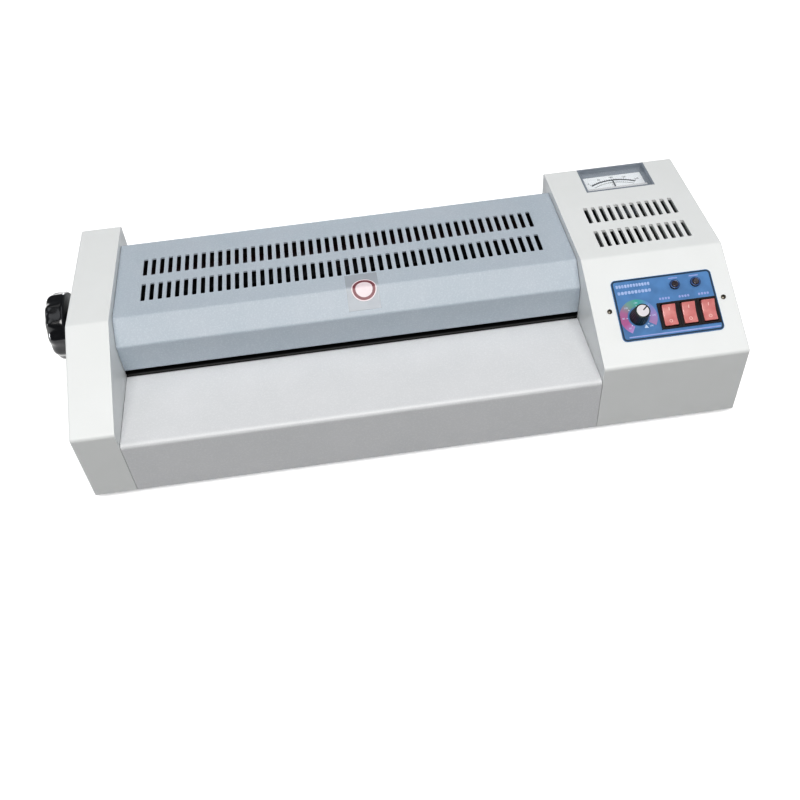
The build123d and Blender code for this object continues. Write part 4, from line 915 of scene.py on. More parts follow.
@dataclass
class HandWheel:
    """The fluted hand wheel on the left end, turned and then fluted.

    Attributes:
        flutes: How many finger hollows it has.
        hollow_share: How deep they are on the rim, as a share of the radius.
        rim_round: The radius of the rim's outer edge.
        back_round: The radius of its inner edge.
        cap_radius: The radius of the cap in its middle.
        cap_depth: How far the cap lies below the outer face.
        dish_radius: Where the outer face starts to fall towards the cap.
        disc_width: The width of the fluted disc, without its hub.
        hub_radius: The radius of the hub between the disc and the casing.
        bore_radius: The radius of the hub's bore.
        hollow_start: Where the hollows start, as a share of the radius.
        hollow_run: How far they take to reach their depth, as a share of the radius.
        hollow_fade: The power of their fading towards the inner face.
        cap_share: The cap's radius as a share of its seat's.
        cap_rise: How far the cap is domed.
        cap_foot: How far its foot lies below the outer face.
        seat: The plane at the wheel's inner end.
        radius: The wheel's radius.
        width: The wheel's whole width.
    """

    flutes: int = 12
    hollow_share: float = 0.075
    rim_round: float = 6.5
    back_round: float = 2.5
    cap_radius: float = 9.4
    cap_depth: float = 1.2
    dish_radius: float = 19.0
    disc_width: float = 16.0
    hub_radius: float = 11.0
    bore_radius: float = 5.2
    hollow_start: float = 0.6
    hollow_run: float = 0.35
    hollow_fade: float = 0.7
    cap_share: float = 0.97
    cap_rise: float = 0.9
    cap_foot: float = 2.5
    seat: Seat = field(init=False)
    radius: float = field(init=False)
    width: float = field(init=False)

    def __post_init__(self) -> None:
        """Reads the wheel's place and size from its CAD node."""
        low, high = box_mm("hand_wheel")
        self.radius = (high[2] - low[2]) / 2
        self.width = high[0] - low[0]
        origin = np.array([high[0], (low[1] + high[1]) / 2, (low[2] + high[2]) / 2])
        self.seat = Seat(origin, *np.array([[0.0, -1.0, 0.0], [0.0, 0.0, 1.0], [-1.0, 0.0, 0.0]]))

    def hollow(self, stations: Array, angle: Array) -> Array:
        """Gives the flutes: a raised cosine round the rim that fades from the outer face to the inner one.

        Args:
            stations: Radius and height of the profile's points.
            angle: The angles round the wheel.

        Returns:
            The share of the radius that each flute takes off.
        """
        from_middle = np.clip((stations[:, :1] / self.radius - self.hollow_start) / self.hollow_run, 0, 1)
        from_back = np.clip((stations[:, 1:] - self.width + self.disc_width) / self.disc_width, 0, 1)
        wave = 0.5 + 0.5 * np.cos(self.flutes * angle)
        return self.hollow_share * from_middle * from_back**self.hollow_fade * wave

    def profile(self) -> Array:
        """Gives radius and height from the hub's foot, over the rim, to the dished middle."""
        hub, back = self.hub_radius, self.width - self.disc_width
        rim, edge = self.radius - self.rim_round, self.back_round
        flank = np.linspace(back + self.back_round, self.width - self.rim_round, 8)[1:-1]
        return np.concatenate(
            [
                [[self.bore_radius, 0.0], [hub - 0.6, 0.0], [hub, 0.6], [hub, back - 0.4], [hub + 1.5, back]],
                quarter_round((self.radius - edge, back + edge), edge, -90, 0),
                np.stack([np.full_like(flank, self.radius), flank], axis=-1),
                quarter_round((rim, self.width - self.rim_round), self.rim_round, 0, 90, 12),
                [[self.dish_radius, self.width - 0.3], [self.dish_radius - 4, self.width - 1.0]],
                [[self.cap_radius + 1.2, self.width - 1.0], [self.cap_radius + 0.4, self.width - 0.4]],
                [[self.cap_radius, self.width - 0.7], [self.cap_radius, self.width - 2.0]],
            ]
        )

    def build(self) -> None:
        """Makes the wheel and the domed cap over its screw."""
        wheel = add_piece(
            "fluted_wheel",
            [Shell.stacked(self.seat.place(turned(self.profile(), 240, self.hollow)))],
            Finishes.black_phenolic,
            Body.HOT_ROLLER,
            sharp=50.0,
        )
        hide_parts("hand_wheel")
        reach = np.linspace(0.02, 1, 8)[::-1]
        rise = self.width - self.cap_depth + self.cap_rise * (1 - reach**2)
        stations = np.stack([self.cap_radius * self.cap_share * reach, rise], axis=-1)
        foot = [[self.cap_radius * self.cap_share, self.width - self.cap_foot]]
        cap = add_piece(
            "wheel_cap",
            [Shell.stacked(self.seat.place(turned(np.concatenate([foot, stations]), 48)))],
            Finishes.black_phenolic,
            Body.HOT_ROLLER,
        )
        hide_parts("hand_wheel_cap")


@dataclass
class Slope:
    """The sloped front of the control housing, with the plate's upper face as its plane.

    Attributes:
        plate_corner: The radius of the control plate's corners.
        plate_length: The plate's length down the slope.
    """

    plate_corner: float = 3.5
    plate_length: float = 49.5

    @cached_property
    def seat(self) -> Seat:
        """The plane, with its origin at the knob's axis."""
        origin, out = joint_place("temperature_turn")
        right = np.array([1.0, 0.0, 0.0])
        return Seat(origin, right, np.cross(out, right), out)

    @cached_property
    def plate_centre(self) -> Array:
        """The middle of the control plate on the plane."""
        low, high = box_mm("control_plate")
        return self.seat.local((low + high) / 2)[:2]

    @cached_property
    def plate_width(self) -> float:
        """The control plate's width."""
        low, high = box_mm("control_plate")
        return high[0] - low[0]


@dataclass(frozen=True)
class BarRow:
    """A row of equal plain bars, measured from the plate's upper left corner.

    Attributes:
        left: The distance of the first bar from the left edge.
        top: The distance of the row from the upper edge.
        step: The distance from bar to bar.
        width: A bar's width.
        length: A bar's height.
        count: How many bars there are.
    """

    left: float
    top: float
    step: float
    width: float
    length: float
    count: int


@dataclass
class PlatePrint:
    """The print on the control plate: border, plain bars, heat band, ticks and numbers.

    Attributes:
        slope: The slope that it lies on.
        border_inset: The distance from the plate's edge to the border.
        border_width: The border's width.
        band_radius: The middle radius of the heat band.
        band_width: The heat band's width.
        tick_reach: The inner and outer radius of the knob's ticks.
        number_radius: The radius of the numbers on the band.
        number_size: The numbers' size.
        triangle_place: Where the triangle lies from the knob's axis.
        first_degree: The first number, in degrees Celsius.
        degree_step: The step between numbers.
        degree_count: How many numbers there are.
        scale_span: The angles of the first and the last number.
        band_past: How far the band reaches past those two angles.
        tick_width: The ticks' width.
        triangle_radius: The radius of the circle about the triangle.
        title_rows: The bars in place of the plate's title.
        caption_row: The bars over the first switch.
        switch_pitch: The distance from switch to switch.
        switch_count: How many switches have a caption.
        lines: Left, top, width and height of the lines over the lamps and under the switches.
    """

    slope: Slope
    border_inset: float = 0.35
    border_width: float = 1.25
    band_radius: float = 11.2
    band_width: float = 5.9
    tick_reach: tuple[float, float] = (8.1, 9.4)
    number_radius: float = 11.4
    number_size: float = 2.0
    triangle_place: tuple[float, float] = (4.1, -8.4)
    first_degree: int = 60
    degree_step: int = 20
    degree_count: int = 7
    scale_span: tuple[float, float] = (225.0, -45.0)
    band_past: tuple[float, float] = (15.0, 10.0)
    tick_width: float = 0.5
    triangle_radius: float = 1.9
    title_rows: tuple[BarRow, ...] = (
        BarRow(3.2, 4.2, 2.2, 1.75, 2.6, 12),
        BarRow(3.6, 9.6, 2.6, 2.15, 2.6, 10),
    )
    caption_row: BarRow = BarRow(33.6, 18.2, 2.2, 1.6, 1.9, 4)
    switch_pitch: float = 15.0
    switch_count: int = 3
    lines: tuple[tuple[float, float, float, float], ...] = (
        (44.0, 3.2, 7.0, 1.0),
        (60.0, 3.2, 7.0, 1.0),
        (5.0, 46.0, 69.5, 1.0),
    )

    def rings(self, rings: Array) -> Array:
        """Places rings of the plane on the slope."""
        return self.slope.seat.place(rings)

    def border(self) -> None:
        """Prints the dark border, a closed band between two rounded rectangles."""
        width, length = self.slope.plate_width, self.slope.plate_length
        outlines = [
            rounded_box(width - 2 * gap, length - 2 * gap, self.slope.plate_corner - gap, 8)
            for gap in (self.border_inset, self.border_inset + self.border_width)
        ]
        rings = band(*outlines, self.slope.plate_centre, 0.0, INK_LIFT)
        add_piece("plate_border", [Shell.looped(self.rings(rings))], Finishes.dark_ink, Body.FRAME)

    def bar(self, left: float, top: float, width: float, length: float) -> Shell:
        """Makes a plain bar whose upper left corner is given from the plate's upper left corner.

        Args:
            left: The distance from the plate's left edge.
            top: The distance from its upper edge.
            width: The bar's width.
            length: The bar's height.

        Returns:
            The bar's shell.
        """
        corner = self.slope.plate_centre + np.array([-self.slope.plate_width, self.slope.plate_length]) / 2
        centre = corner + np.array([left + width / 2, -top - length / 2])
        outline = rounded_box(width, length, min(width, length) * 0.3, 3)
        return Shell.stacked(self.rings(pad(outline, centre, 0.0, INK_LIFT)))

    def row(self, row: BarRow, shift: float = 0.0) -> list[Shell]:
        """Makes the bars of a row, which may be shifted to the right."""
        lefts = [row.left + shift + row.step * index for index in range(row.count)]
        return [self.bar(left, row.top, row.width, row.length) for left in lefts]

    def bars(self) -> None:
        """Prints plain bars in place of words, and pale lines over the lamps and below the switches."""
        title = [bar for row in self.title_rows for bar in self.row(row)]
        add_piece("title_bars", title, Finishes.faint_ink, Body.FRAME)
        shifts = [self.switch_pitch * switch for switch in range(self.switch_count)]
        captions = [bar for shift in shifts for bar in self.row(self.caption_row, shift)]
        captions += [self.bar(*line) for line in self.lines]
        add_piece("caption_bars", captions, Finishes.violet_ink, Body.FRAME)

    def heat_scale(self) -> None:
        """Prints the coloured band round the knob, its ticks and its numbers."""
        low_heat, high_heat = self.scale_span
        span = (low_heat + self.band_past[0], high_heat + self.band_past[1])
        strip = arc((0, 0), self.band_radius, self.band_width, span, (0.0, INK_LIFT))
        add_piece("heat_scale", [Shell.stacked(self.rings(strip[::-1]))], Finishes.heat_band, Body.FRAME)
        angles = np.linspace(low_heat, high_heat, self.degree_count)
        over_band = (0.0, 2 * INK_LIFT)
        ticks = [spoke((0, 0), self.tick_reach, self.tick_width, angle, over_band) for angle in angles]
        shells = [Shell.stacked(self.rings(tick)) for tick in ticks]
        add_piece("heat_ticks", shells, Finishes.pale_ink, Body.FRAME)
        numbers = [
            lettering(
                self.slope.seat,
                str(self.first_degree + self.degree_step * step),
                self.number_size,
                self.number_radius * np.array([math.cos(math.radians(angle)), math.sin(math.radians(angle))]),
                2 * INK_LIFT,
            )
            for step, angle in enumerate(angles)
        ]
        add_piece("heat_numbers", numbers, Finishes.pale_ink, Body.FRAME)
        triangle = circle(self.triangle_radius, 3) @ np.array([[0.0, 1.0], [-1.0, 0.0]])
        rings = self.rings(pad(triangle, self.triangle_place, 0.0, 2 * INK_LIFT))
        add_piece("heat_triangle", [Shell.stacked(rings)], Finishes.pale_ink, Body.FRAME)

    def build(self) -> None:
        """Prints everything on the plate."""
        self.border()
        self.bars()
        self.heat_scale()


@dataclass
class TemperatureKnob:
    """The knob on the control plate: a ribbed dark body with a silver cap and a pointer line.

    Attributes:
        slope: The slope that it stands on.
        ribs: How many grip ribs it has.
        rib_share: How deep the grooves between them are, as a share of the radius.
        foot: The gap under it.
        foot_radius: Its radius at the foot.
        top_radius: Its radius at the top.
        height: Its height over the gap.
        cap_radius: The radius of the silver cap.
        edge_round: The radius of its upper edge.
        groove_foot: Where the grooves start over the foot.
        groove_fade: How far they take to reach their depth.
        cap_rise: How far the cap is domed.
        pointer_width: The width of its line.
        pointer_degrees: Where its line points at rest.
    """

    slope: Slope
    ribs: int = 24
    rib_share: float = 0.05
    foot: float = 0.5
    foot_radius: float = 7.0
    top_radius: float = 5.6
    height: float = 12.0
    cap_radius: float = 4.6
    edge_round: float = 0.6
    groove_foot: float = 1.5
    groove_fade: float = 0.8
    cap_rise: float = 0.24
    pointer_width: float = 0.9
    pointer_degrees: float = 40.0

    def grooves(self, stations: Array, angle: Array) -> Array:
        """Gives the grooves: a cosine round the side that stops short of the foot and the top."""
        height = stations[:, 1:] - self.foot
        over_foot = np.clip((height - self.groove_foot) / self.groove_fade, 0, 1)
        under_top = np.clip((self.height - self.edge_round - height) / self.groove_fade, 0, 1)
        return self.rib_share * (over_foot * under_top) * (0.5 + 0.5 * np.cos(self.ribs * angle))

    def build(self) -> None:
        """Makes the body, the cap with its shallow dome and the pointer line."""
        top = self.foot + self.height
        slant = np.array([self.top_radius - self.foot_radius, self.height - 0.8])
        sides = np.linspace(0, 1, 14)[:, None] * slant
        edge = self.edge_round
        stations = np.concatenate(
            [
                [[5.6, self.foot + 0.1], [self.foot_radius - 0.3, self.foot]],
                np.array([self.foot_radius, self.foot + 0.2]) + sides,
                quarter_round((self.top_radius - edge, top - edge), edge, 0, 90),
                [[self.cap_radius + 0.1, top], [self.cap_radius, top - 0.3]],
            ]
        )
        body = add_piece(
            "knob_body",
            [Shell.stacked(self.slope.seat.place(turned(stations, 192, self.grooves)))],
            Finishes.knob_moulding,
            Body.DIAL,
        )
        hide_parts("temperature_knob")
        reach = np.linspace(1, 0.02, 8)
        dome = np.stack([self.cap_radius * reach, top - 0.05 + self.cap_rise * (1 - reach**2)], axis=-1)
        stations = np.concatenate([[[self.cap_radius, top - 0.7]], dome])
        cap = add_piece(
            "knob_disc",
            [Shell.stacked(self.slope.seat.place(turned(stations, 64)))],
            Finishes.silver_lacquer,
            Body.DIAL,
        )
        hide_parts("knob_cap")
        reach, heights = (0.4, self.cap_radius - 0.1), (top - 0.2, top + self.cap_rise)
        line = spoke((0, 0), reach, self.pointer_width, self.pointer_degrees, heights)
        add_piece("knob_pointer", [Shell.stacked(self.slope.seat.place(line))], Finishes.black_ink, Body.DIAL)


@dataclass
class Rocker:
    """One tipped rocker with a hollow face and the two marks of a switch.

    Attributes:
        node: The CAD node that it stands for.
        joint: The joint that it rocks on.
        body: The body that it rides on.
        slope: The slope that it is let into.
        tilt: How far its upper end is tipped out, in degrees.
        width: Its width.
        reach: The distance from its pivot to each end of its face.
        rise: The height of the ends over the pivot.
        dip: The height of the face's middle over the pivot.
        keel: The depth of its foot and half the foot's length.
        mark_offset: The distance of each mark from the face's middle.
        mark_sink: How deep a mark's foot lies in the face.
        bar_size: The width and the length of the mark for on.
        ring_radii: The outer and the inner radius of the mark for off.
    """

    node: str
    joint: str
    body: Body
    slope: Slope
    tilt: float = 8.0
    width: float = 10.0
    reach: float = 8.1
    rise: float = 3.6
    dip: float = 2.4
    keel: float = 5.0
    mark_offset: float = 4.6
    mark_sink: float = 0.05
    bar_size: tuple[float, float] = (0.6, 2.4)
    ring_radii: tuple[float, float] = (1.3, 0.85)

    @cached_property
    def seat(self) -> Seat:
        """The plane through the pivot, tipped with the rocker."""
        return self.slope.seat.tilted(joint_place(self.joint)[0], self.tilt)

    def face(self, along: Array) -> Array:
        """Gives the face's height, a parabola from the dip in the middle to the rise at each end."""
        return self.dip + (self.rise - self.dip) * (along / self.reach) ** 2

    def section(self) -> Array:
        """Gives the closed side view: the face, a round shoulder, the flank and the foot."""
        along = np.linspace(-self.reach + 0.35, self.reach - 0.35, 25)
        end = self.reach
        shoulder = np.array([[end, self.rise - 0.3], [end + 0.15, 1.6], [end + 0.2, 0.0]])
        flank = np.array([[self.keel + 1.6, -2.6], [self.keel, -self.keel]])
        right = np.concatenate([shoulder, flank])
        left = right[::-1] * np.array([-1, 1])
        return np.concatenate([np.stack([along, self.face(along)], axis=-1), right, left])

    def mark(self, kind: Mark) -> Shell:
        """Makes the bar or the ring that lies on the face.

        Args:
            kind: Which of the two marks.

        Returns:
            The mark's shell, bent to the face.
        """
        lifts = (-self.mark_sink, INK_LIFT)
        if kind is Mark.ON:
            rings = pad(rounded_box(*self.bar_size, 0.2, 3), (0, self.mark_offset), *lifts)
        else:
            rings = band(*(circle(radius, 32) for radius in self.ring_radii), (0, -self.mark_offset), *lifts)
        rings[..., 2] += self.face(rings[..., 1])
        placed = self.seat.place(rings)
        return Shell.stacked(placed) if kind is Mark.ON else Shell.looped(placed)

    def build(self) -> None:
        """Carries the side view across the width, drawn in at both sides, and adds the marks."""
        across = np.array([-1, -0.985, -0.95, -0.88, 0.88, 0.95, 0.985, 1]) * self.width / 2
        drawn_in = np.array([0.94, 0.97, 0.99, 1, 1, 0.99, 0.97, 0.94])
        section = self.section()
        scaled = section * drawn_in[:, None, None]
        sideways = np.broadcast_to(across[:, None, None], (*scaled.shape[:2], 1))
        key = Shell.stacked(self.seat.place(np.concatenate([sideways, scaled], axis=-1)))
        # The key's salmon pink is partly a painted sheen on the red acrylic
        piece = add_piece(f"{self.body.value}_key", [key], Finishes.rocker_acrylic_and_sheen, self.body, sharp=28.0)
        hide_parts(self.node)
        marks = [self.mark(kind) for kind in Mark]
        add_piece(f"{self.body.value}_marks", marks, Finishes.rocker_ink, self.body)


@dataclass
class PilotLamps:
    """The enamelled rims round the two pilot lamps.

    Attributes:
        slope: The slope that they are let into.
        pitch: The distance between the lamps.
        rim_radius: The outer radius of a rim.
        lens_radius: The radius of the lens inside it.
        rim_height: The height of a rim over the plate.
    """

    slope: Slope
    pitch: float = 15.9
    rim_radius: float = 3.75
    lens_radius: float = 2.35
    rim_height: float = 1.5

    def build(self) -> None:
        """Turns a rim: a band with a rounded top between the lens and the lamp body's edge."""
        low, high = box_mm("pilot_lamps")
        centre = self.slope.seat.local((low + high) / 2)
        section = np.concatenate(
            [
                [[self.lens_radius, self.rim_height - 0.2], [self.rim_radius + 0.02, 0.0]],
                quarter_round((self.rim_radius - 0.48, self.rim_height - 0.4), 0.5, 0, 90, 5),
                [[self.lens_radius + 0.5, self.rim_height + 0.1]],
            ]
        )
        rims = []
        for side in (-0.5, 0.5):
            place = np.array([centre[0] + side * self.pitch, self.lamp_row(), 0])
            rings = turned(section, 48).transpose(1, 0, 2) + place
            rims.append(Shell.looped(self.slope.seat.place(rings)))
        add_piece("lamp_rims", rims, Finishes.blue_enamel, Body.FRAME)

    def lamp_row(self) -> float:
        """Gives the lamps' place up the slope, from the lenses' box."""
        low, high = box_mm("lamp_lenses")
        return self.slope.seat.local((low + high) / 2)[1]


@dataclass
class MeterFace:
    """The print on the meter's dial, and the skirt that covers the dial's foot.

    Attributes:
        swing: The needle's travel to each side, in degrees.
        arc_radius: The radius of the bold arc, about the needle's pivot.
        arc_width: The bold arc's width.
        fine_radius: The radius of the fine arc below it.
        numbers: The numbers along the arc.
        number_size: The numbers' size.
        skirt_length: How far the skirt reaches back from the well's front wall.
        skirt_gap: The gap between the skirt and what lies over and under it.
        fine_width: The width of the fine arc and of the outer ticks.
        tick_count: How many ticks there are.
        tick_group: Every so many ticks, one is long and has a number.
        long_tick: A long tick's reach out of the bold arc.
        short_tick: A short tick's reach.
        fine_tick: The reach and the width of the ticks on the fine arc.
        number_gap: The gap between the bold arc and the numbers.
        unit_size: The size of the unit's letters.
        unit_drop: How far they lie within the fine arc.
    """

    swing: float = 32.0
    arc_radius: float = 35.2
    arc_width: float = 1.5
    fine_radius: float = 31.6
    numbers: tuple[int, ...] = (0, 50, 100, 150, 200)
    number_size: float = 2.6
    skirt_length: float = 8.4
    skirt_gap: float = 0.25
    fine_width: float = 0.35
    tick_count: int = 21
    tick_group: int = 5
    long_tick: float = 1.5
    short_tick: float = 0.8
    fine_tick: tuple[float, float] = (0.9, 0.25)
    number_gap: float = 1.9
    unit_size: float = 3.2
    unit_drop: float = 3.4

    @cached_property
    def seat(self) -> Seat:
        """The dial's face, with its origin level with the needle's pivot."""
        pivot = joint_place("meter_swing")[0]
        top = box_mm("meter_dial")[1][2]
        return Seat(np.array([pivot[0], pivot[1], top]), *np.eye(3))

    def skirt(self) -> None:
        """Lays the skirt between the needle and the window."""
        low, high = box_mm("meter_window")
        under = box_mm("meter_needle")[1][2] + self.skirt_gap
        over = low[2] - self.skirt_gap
        outline = rounded_box(high[0] - low[0] - 2 * self.skirt_gap, self.skirt_length, 0.5)
        centre = ((low[0] + high[0]) / 2, low[1] + self.skirt_gap + self.skirt_length / 2)
        shell = Shell.stacked(pad(outline, centre, under, over, 0.2))
        add_piece("dial_skirt", [shell], Finishes.skirt_abs, Body.FRAME)

    def build(self) -> None:
        """Prints the two arcs, the ticks and the numbers, and adds the skirt."""
        heights = (0.0, INK_LIFT)
        span = (90 + self.swing, 90 - self.swing)
        lines = [(self.arc_radius, self.arc_width), (self.fine_radius, self.fine_width)]
        prints = [arc((0, 0), radius, width, span, heights) for radius, width in lines]
        angles = np.linspace(*span, self.tick_count)
        outer = self.arc_radius + self.arc_width / 2
        for index, angle in enumerate(angles):
            reach = self.long_tick if index % self.tick_group == 0 else self.short_tick
            prints.append(spoke((0, 0), (outer - 0.2, outer + reach), self.fine_width, angle, heights))
            fine_reach = (self.fine_radius, self.fine_radius + self.fine_tick[0])
            prints.append(spoke((0, 0), fine_reach, self.fine_tick[1], angle, heights))
        shells = [Shell.stacked(self.seat.place(rings)) for rings in prints]
        for value, angle in zip(self.numbers, angles[:: self.tick_group]):
            turn = math.radians(angle)
            middle = outer + self.number_gap + self.number_size / 2
            centre = middle * np.array([math.cos(turn), math.sin(turn)])
            shells.append(lettering(self.seat, str(value), self.number_size, centre, INK_LIFT))
        place = (0.0, self.fine_radius - self.unit_drop)
        shells.append(lettering(self.seat, "°C", self.unit_size, place, INK_LIFT))
        add_piece("dial_print", shells, Finishes.black_ink, Body.FRAME)
        self.skirt()


@dataclass
class LabelPrint:
    """A plain ring on the blank label, bent with it over the cover's fold.

    Attributes:
        top_run: How far the label reaches back from the fold.
        fold_degrees: How far the cover falls after the fold.
        fold_radius: The radius of the label's outer face at the fold.
        film: The film's thickness.
        ring_radius: The ring's outer radius.
        ring_width: The ring's width.
        ring_place: Where the ring's middle lies from the fold, across the label and up it.
        ground_margin: How far the white ground reaches out of the ring.
        ground_height: The height of the white ground over the film.
        ring_height: The height of the ring over the film.
        around: Points round the ring.
        layers: How many nested rings the ground is made of.
    """

    top_run: float = 15.0
    fold_degrees: float = 42.67
    fold_radius: float = 3.0
    film: float = 0.3
    ring_radius: float = 8.8
    ring_width: float = 2.2
    ring_place: tuple[float, float] = (1.1, -1.8)
    ground_margin: float = 0.9
    ground_height: float = 0.03
    ring_height: float = 0.07
    around: int = 96
    layers: int = 16

    def bend(self, local: Array) -> Array:
        """Lays flat coordinates on the folded film.

        Down the label the path is straight, then turns through the fold's arc, then runs straight down the
        chamfer: the angle is the distance over the radius, held between nought and the fold's angle.

        Args:
            local: Across the label, up it from the fold, and the height over it.

        Returns:
            The machine's coordinates.
        """
        low, high = box_mm("blank_label")
        fold = math.radians(self.fold_degrees)
        half = math.tan(fold / 2)
        centre_y = high[1] - self.top_run - self.film * half + self.fold_radius * half
        centre_z = high[2] - self.fold_radius
        down = self.fold_radius * fold / 2 - local[..., 1]
        angle = np.clip(down / self.fold_radius, 0, fold)
        beyond = down - self.fold_radius * angle
        reach = self.fold_radius + local[..., 2]
        return np.stack(
            [
                (low[0] + high[0]) / 2 + local[..., 0],
                centre_y - reach * np.sin(angle) - beyond * np.cos(angle),
                centre_z + reach * np.cos(angle) - beyond * np.sin(angle),
            ],
            axis=-1,
        )

    def build(self) -> None:
        """Prints the white ground as nested rings, so that it bends over the fold, and the ring on it."""
        reach = (self.ring_radius + self.ground_margin) * np.linspace(1, 0.02, self.layers)
        layers = np.stack([at_height(circle(radius, self.around), self.ground_height) for radius in reach])
        foot = at_height(circle(reach[0], self.around), 0.0)[None]
        ground = np.concatenate([foot, layers]) + np.array([*self.ring_place, 0.0])
        add_piece("label_ground", [Shell.stacked(self.bend(ground))], Finishes.white_ink, Body.FRAME)
        radii = (self.ring_radius, self.ring_radius - self.ring_width)
        outlines = [circle(radius, self.around) for radius in radii]
        rings = band(*outlines, self.ring_place, self.ground_height, self.ring_height)
        add_piece("label_ring", [Shell.looped(self.bend(rings))], Finishes.red_ink, Body.FRAME)


@dataclass
class CaseScrews:
    """Pan-headed cross-recess screws beside the plate, in the feet and in the pan.

    Attributes:
        slope: The slope that two of them are driven into.
        recess: The cross's depth, arm width and arm length.
        plate_gap: The distance from the plate's edge to the screws beside it.
        plate_proud: The height of the plate's face over the slope.
        foot_radius: The feet's outer radius.
        row_rise: How far the screws beside the plate lie above its middle.
        slope_screw: Head radius, head height, shank radius and length of those screws.
        foot_screw: The same sizes of the screws in the feet.
        foot_sink: How deep these sit in the feet.
        pan_screw: The same sizes of the screws in the pan.
        pan_sink: The height of their seat over the table.
        boss_inset: The distance of the left pan screws from the end of the whole row.
        boss_right: Where the right pan screws stand, 1.3 inwards of the middle of their bosses.
        boss_y: The distance of the pan screws from the middle.
    """

    slope: Slope
    recess: tuple[float, float, float] = (0.8, 0.55, 1.5)
    plate_gap: float = 5.1
    plate_proud: float = 0.8
    foot_radius: float = 9.0
    row_rise: float = 0.8
    slope_screw: tuple[float, float, float, float] = (1.8, 1.3, 1.4, 7.0)
    foot_screw: tuple[float, float, float, float] = (3.3, 2.0, 2.0, 7.5)
    foot_sink: float = 3.0
    pan_screw: tuple[float, float, float, float] = (3.2, 1.0, 1.5, 13.5)
    pan_sink: float = 7.0
    boss_inset: float = 3.2
    boss_right: float = 254.0
    boss_y: float = 66.25

    def head(self, radius: float, height: float, shank: float, length: float) -> Array:
        """Gives a screw's rings: a shank, a domed head, and a cross sunk into it.

        The head's height falls with the square of the radius, and the recess takes its depth off where a
        point lies within half an arm's width of either centre line.

        Args:
            radius: The head's radius.
            height: The head's height.
            shank: The shank's radius.
            length: The shank's length.

        Returns:
            Rings as (level, around, coordinate).
        """
        depth, arm, reach = self.recess
        share = np.linspace(1, 0.03, 22)
        dome = np.stack([radius * share, height * (1 - 0.45 * share**2)], axis=-1)
        foot = [[shank * 0.8, -length], [shank, 0.6 - length], [shank, 0.0], [radius, 0.0]]
        stations = np.concatenate([foot, dome])
        rings = turned(stations, 72)
        flat = np.abs(rings[..., :2])
        in_arm = (flat.min(axis=-1) < arm / 2) & (flat.max(axis=-1) < reach) & (rings[..., 2] > 0.1)
        rings[..., 2] -= np.where(in_arm, min(depth, height * 0.7), 0.0)
        return rings

    def build(self) -> None:
        """Drives the screws into the slope, the feet and the pan."""
        plate_low, plate_high = box_mm("control_plate")
        feet_low, feet_high = box_mm("feet")
        seat = self.slope.seat
        row = self.slope.plate_centre[1] + self.row_rise
        shells = []
        for x in (plate_low[0] - self.plate_gap, plate_high[0] + self.plate_gap):
            place = np.array([x - seat.origin[0], row, -self.plate_proud])
            shells.append(Shell.stacked(seat.place(self.head(*self.slope_screw) + place)))
        below = Seat(np.zeros(3), *np.array([[1.0, 0.0, 0.0], [0.0, -1.0, 0.0], [0.0, 0.0, -1.0]]))
        near, far = feet_low + self.foot_radius, feet_high - self.foot_radius
        foot_places = [(x, y) for x in (near[0], far[0]) for y in (near[1], far[1])]
        first = box_mm("case_screws")[0][0] + self.boss_inset
        pan_places = [(x, y) for x in (first, self.boss_right) for y in (-self.boss_y, self.boss_y)]
        rows = [(self.foot_screw, self.foot_sink, foot_places), (self.pan_screw, self.pan_sink, pan_places)]
        for screw, sink, places in rows:
            for x, y in places:
                shells.append(Shell.stacked(below.place(self.head(*screw) + np.array([x, -y, -sink]))))
        screws = add_piece("cross_screws", shells, Finishes.black_oxide, Body.FRAME, sharp=40.0)
        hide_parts("case_screws")


@dataclass
class Casing:
    """The mouldings and sheets that keep their CAD shape and only take a finish."""

    def build(self) -> None:
        """Dresses the casing, the trays, the feet and the parts let into them."""
        dress(["left_end_cover", "control_housing"], Finishes.moulded_abs)
        dress(["centre_cover"], Finishes.grey_powder_coat)
        dress(["front_tray", "rear_tray"], Finishes.pale_powder_coat)
        dress(["base_pan"], Finishes.zinc_sheet)
        dress(["feet"], Finishes.foot_rubber)
        dress(["blank_label"], Finishes.vinyl_film)
        dress(["control_plate"], Finishes.blue_film)
        dress(["switch_bodies", "pilot_lamps", "power_inlet"], Finishes.switch_nylon)
        dress(["lamp_lenses"], Finishes.tinted_lens)
        dress(["meter_body"], Finishes.meter_abs)
        dress(["meter_dial"], Finishes.dial_card)
        dress(["meter_needle"], Finishes.black_ink)
        dress(["meter_window"], Finishes.cast_acrylic)


@dataclass
class Mechanism:
    """The rollers, heaters, gears and plates inside, which show through the vents and the slots."""

    def build(self) -> None:
        """Dresses every inner piece in its own metal, rubber or plastic."""
        rollers = [f"{level}_{kind}" for level in ("upper", "lower") for kind in ("hot", "pull")]
        dress([f"{roller}_core" for roller in rollers], Finishes.ground_steel)
        dress([f"{roller}_sleeve" for roller in rollers], Finishes.silicone)
        dress([f"{roller}_gear" for roller in rollers] + ["idler_gear", "motor_pinion"], Finishes.nylon)
        dress(["lower_bushes", "upper_hot_blocks", "upper_pull_blocks"], Finishes.sintered_bronze)
        dress(["upper_heat_shoe", "lower_heat_shoe"], Finishes.anodised_extrusion)
        dress(["heater_rods"], Finishes.ground_steel)
        # The tie bars are dark partly as painted shade behind the vents
        dress(["tie_bars"], Finishes.phosphated_steel_and_shade)
        dress(["left_side_plate", "right_side_plate", "motor_bracket", "frame_screws"], Finishes.zinc_sheet)
        # The guides are black as painted shade inside the feed slots
        dress(["upper_guide", "lower_guide", "transfer_guide"], Finishes.guide_slot_shade)
        dress(["gear_motor", "potentiometer"], Finishes.drawn_can)
        dress(["control_board"], Finishes.solder_mask)
        dress(["heat_sensors"], Finishes.switch_nylon)


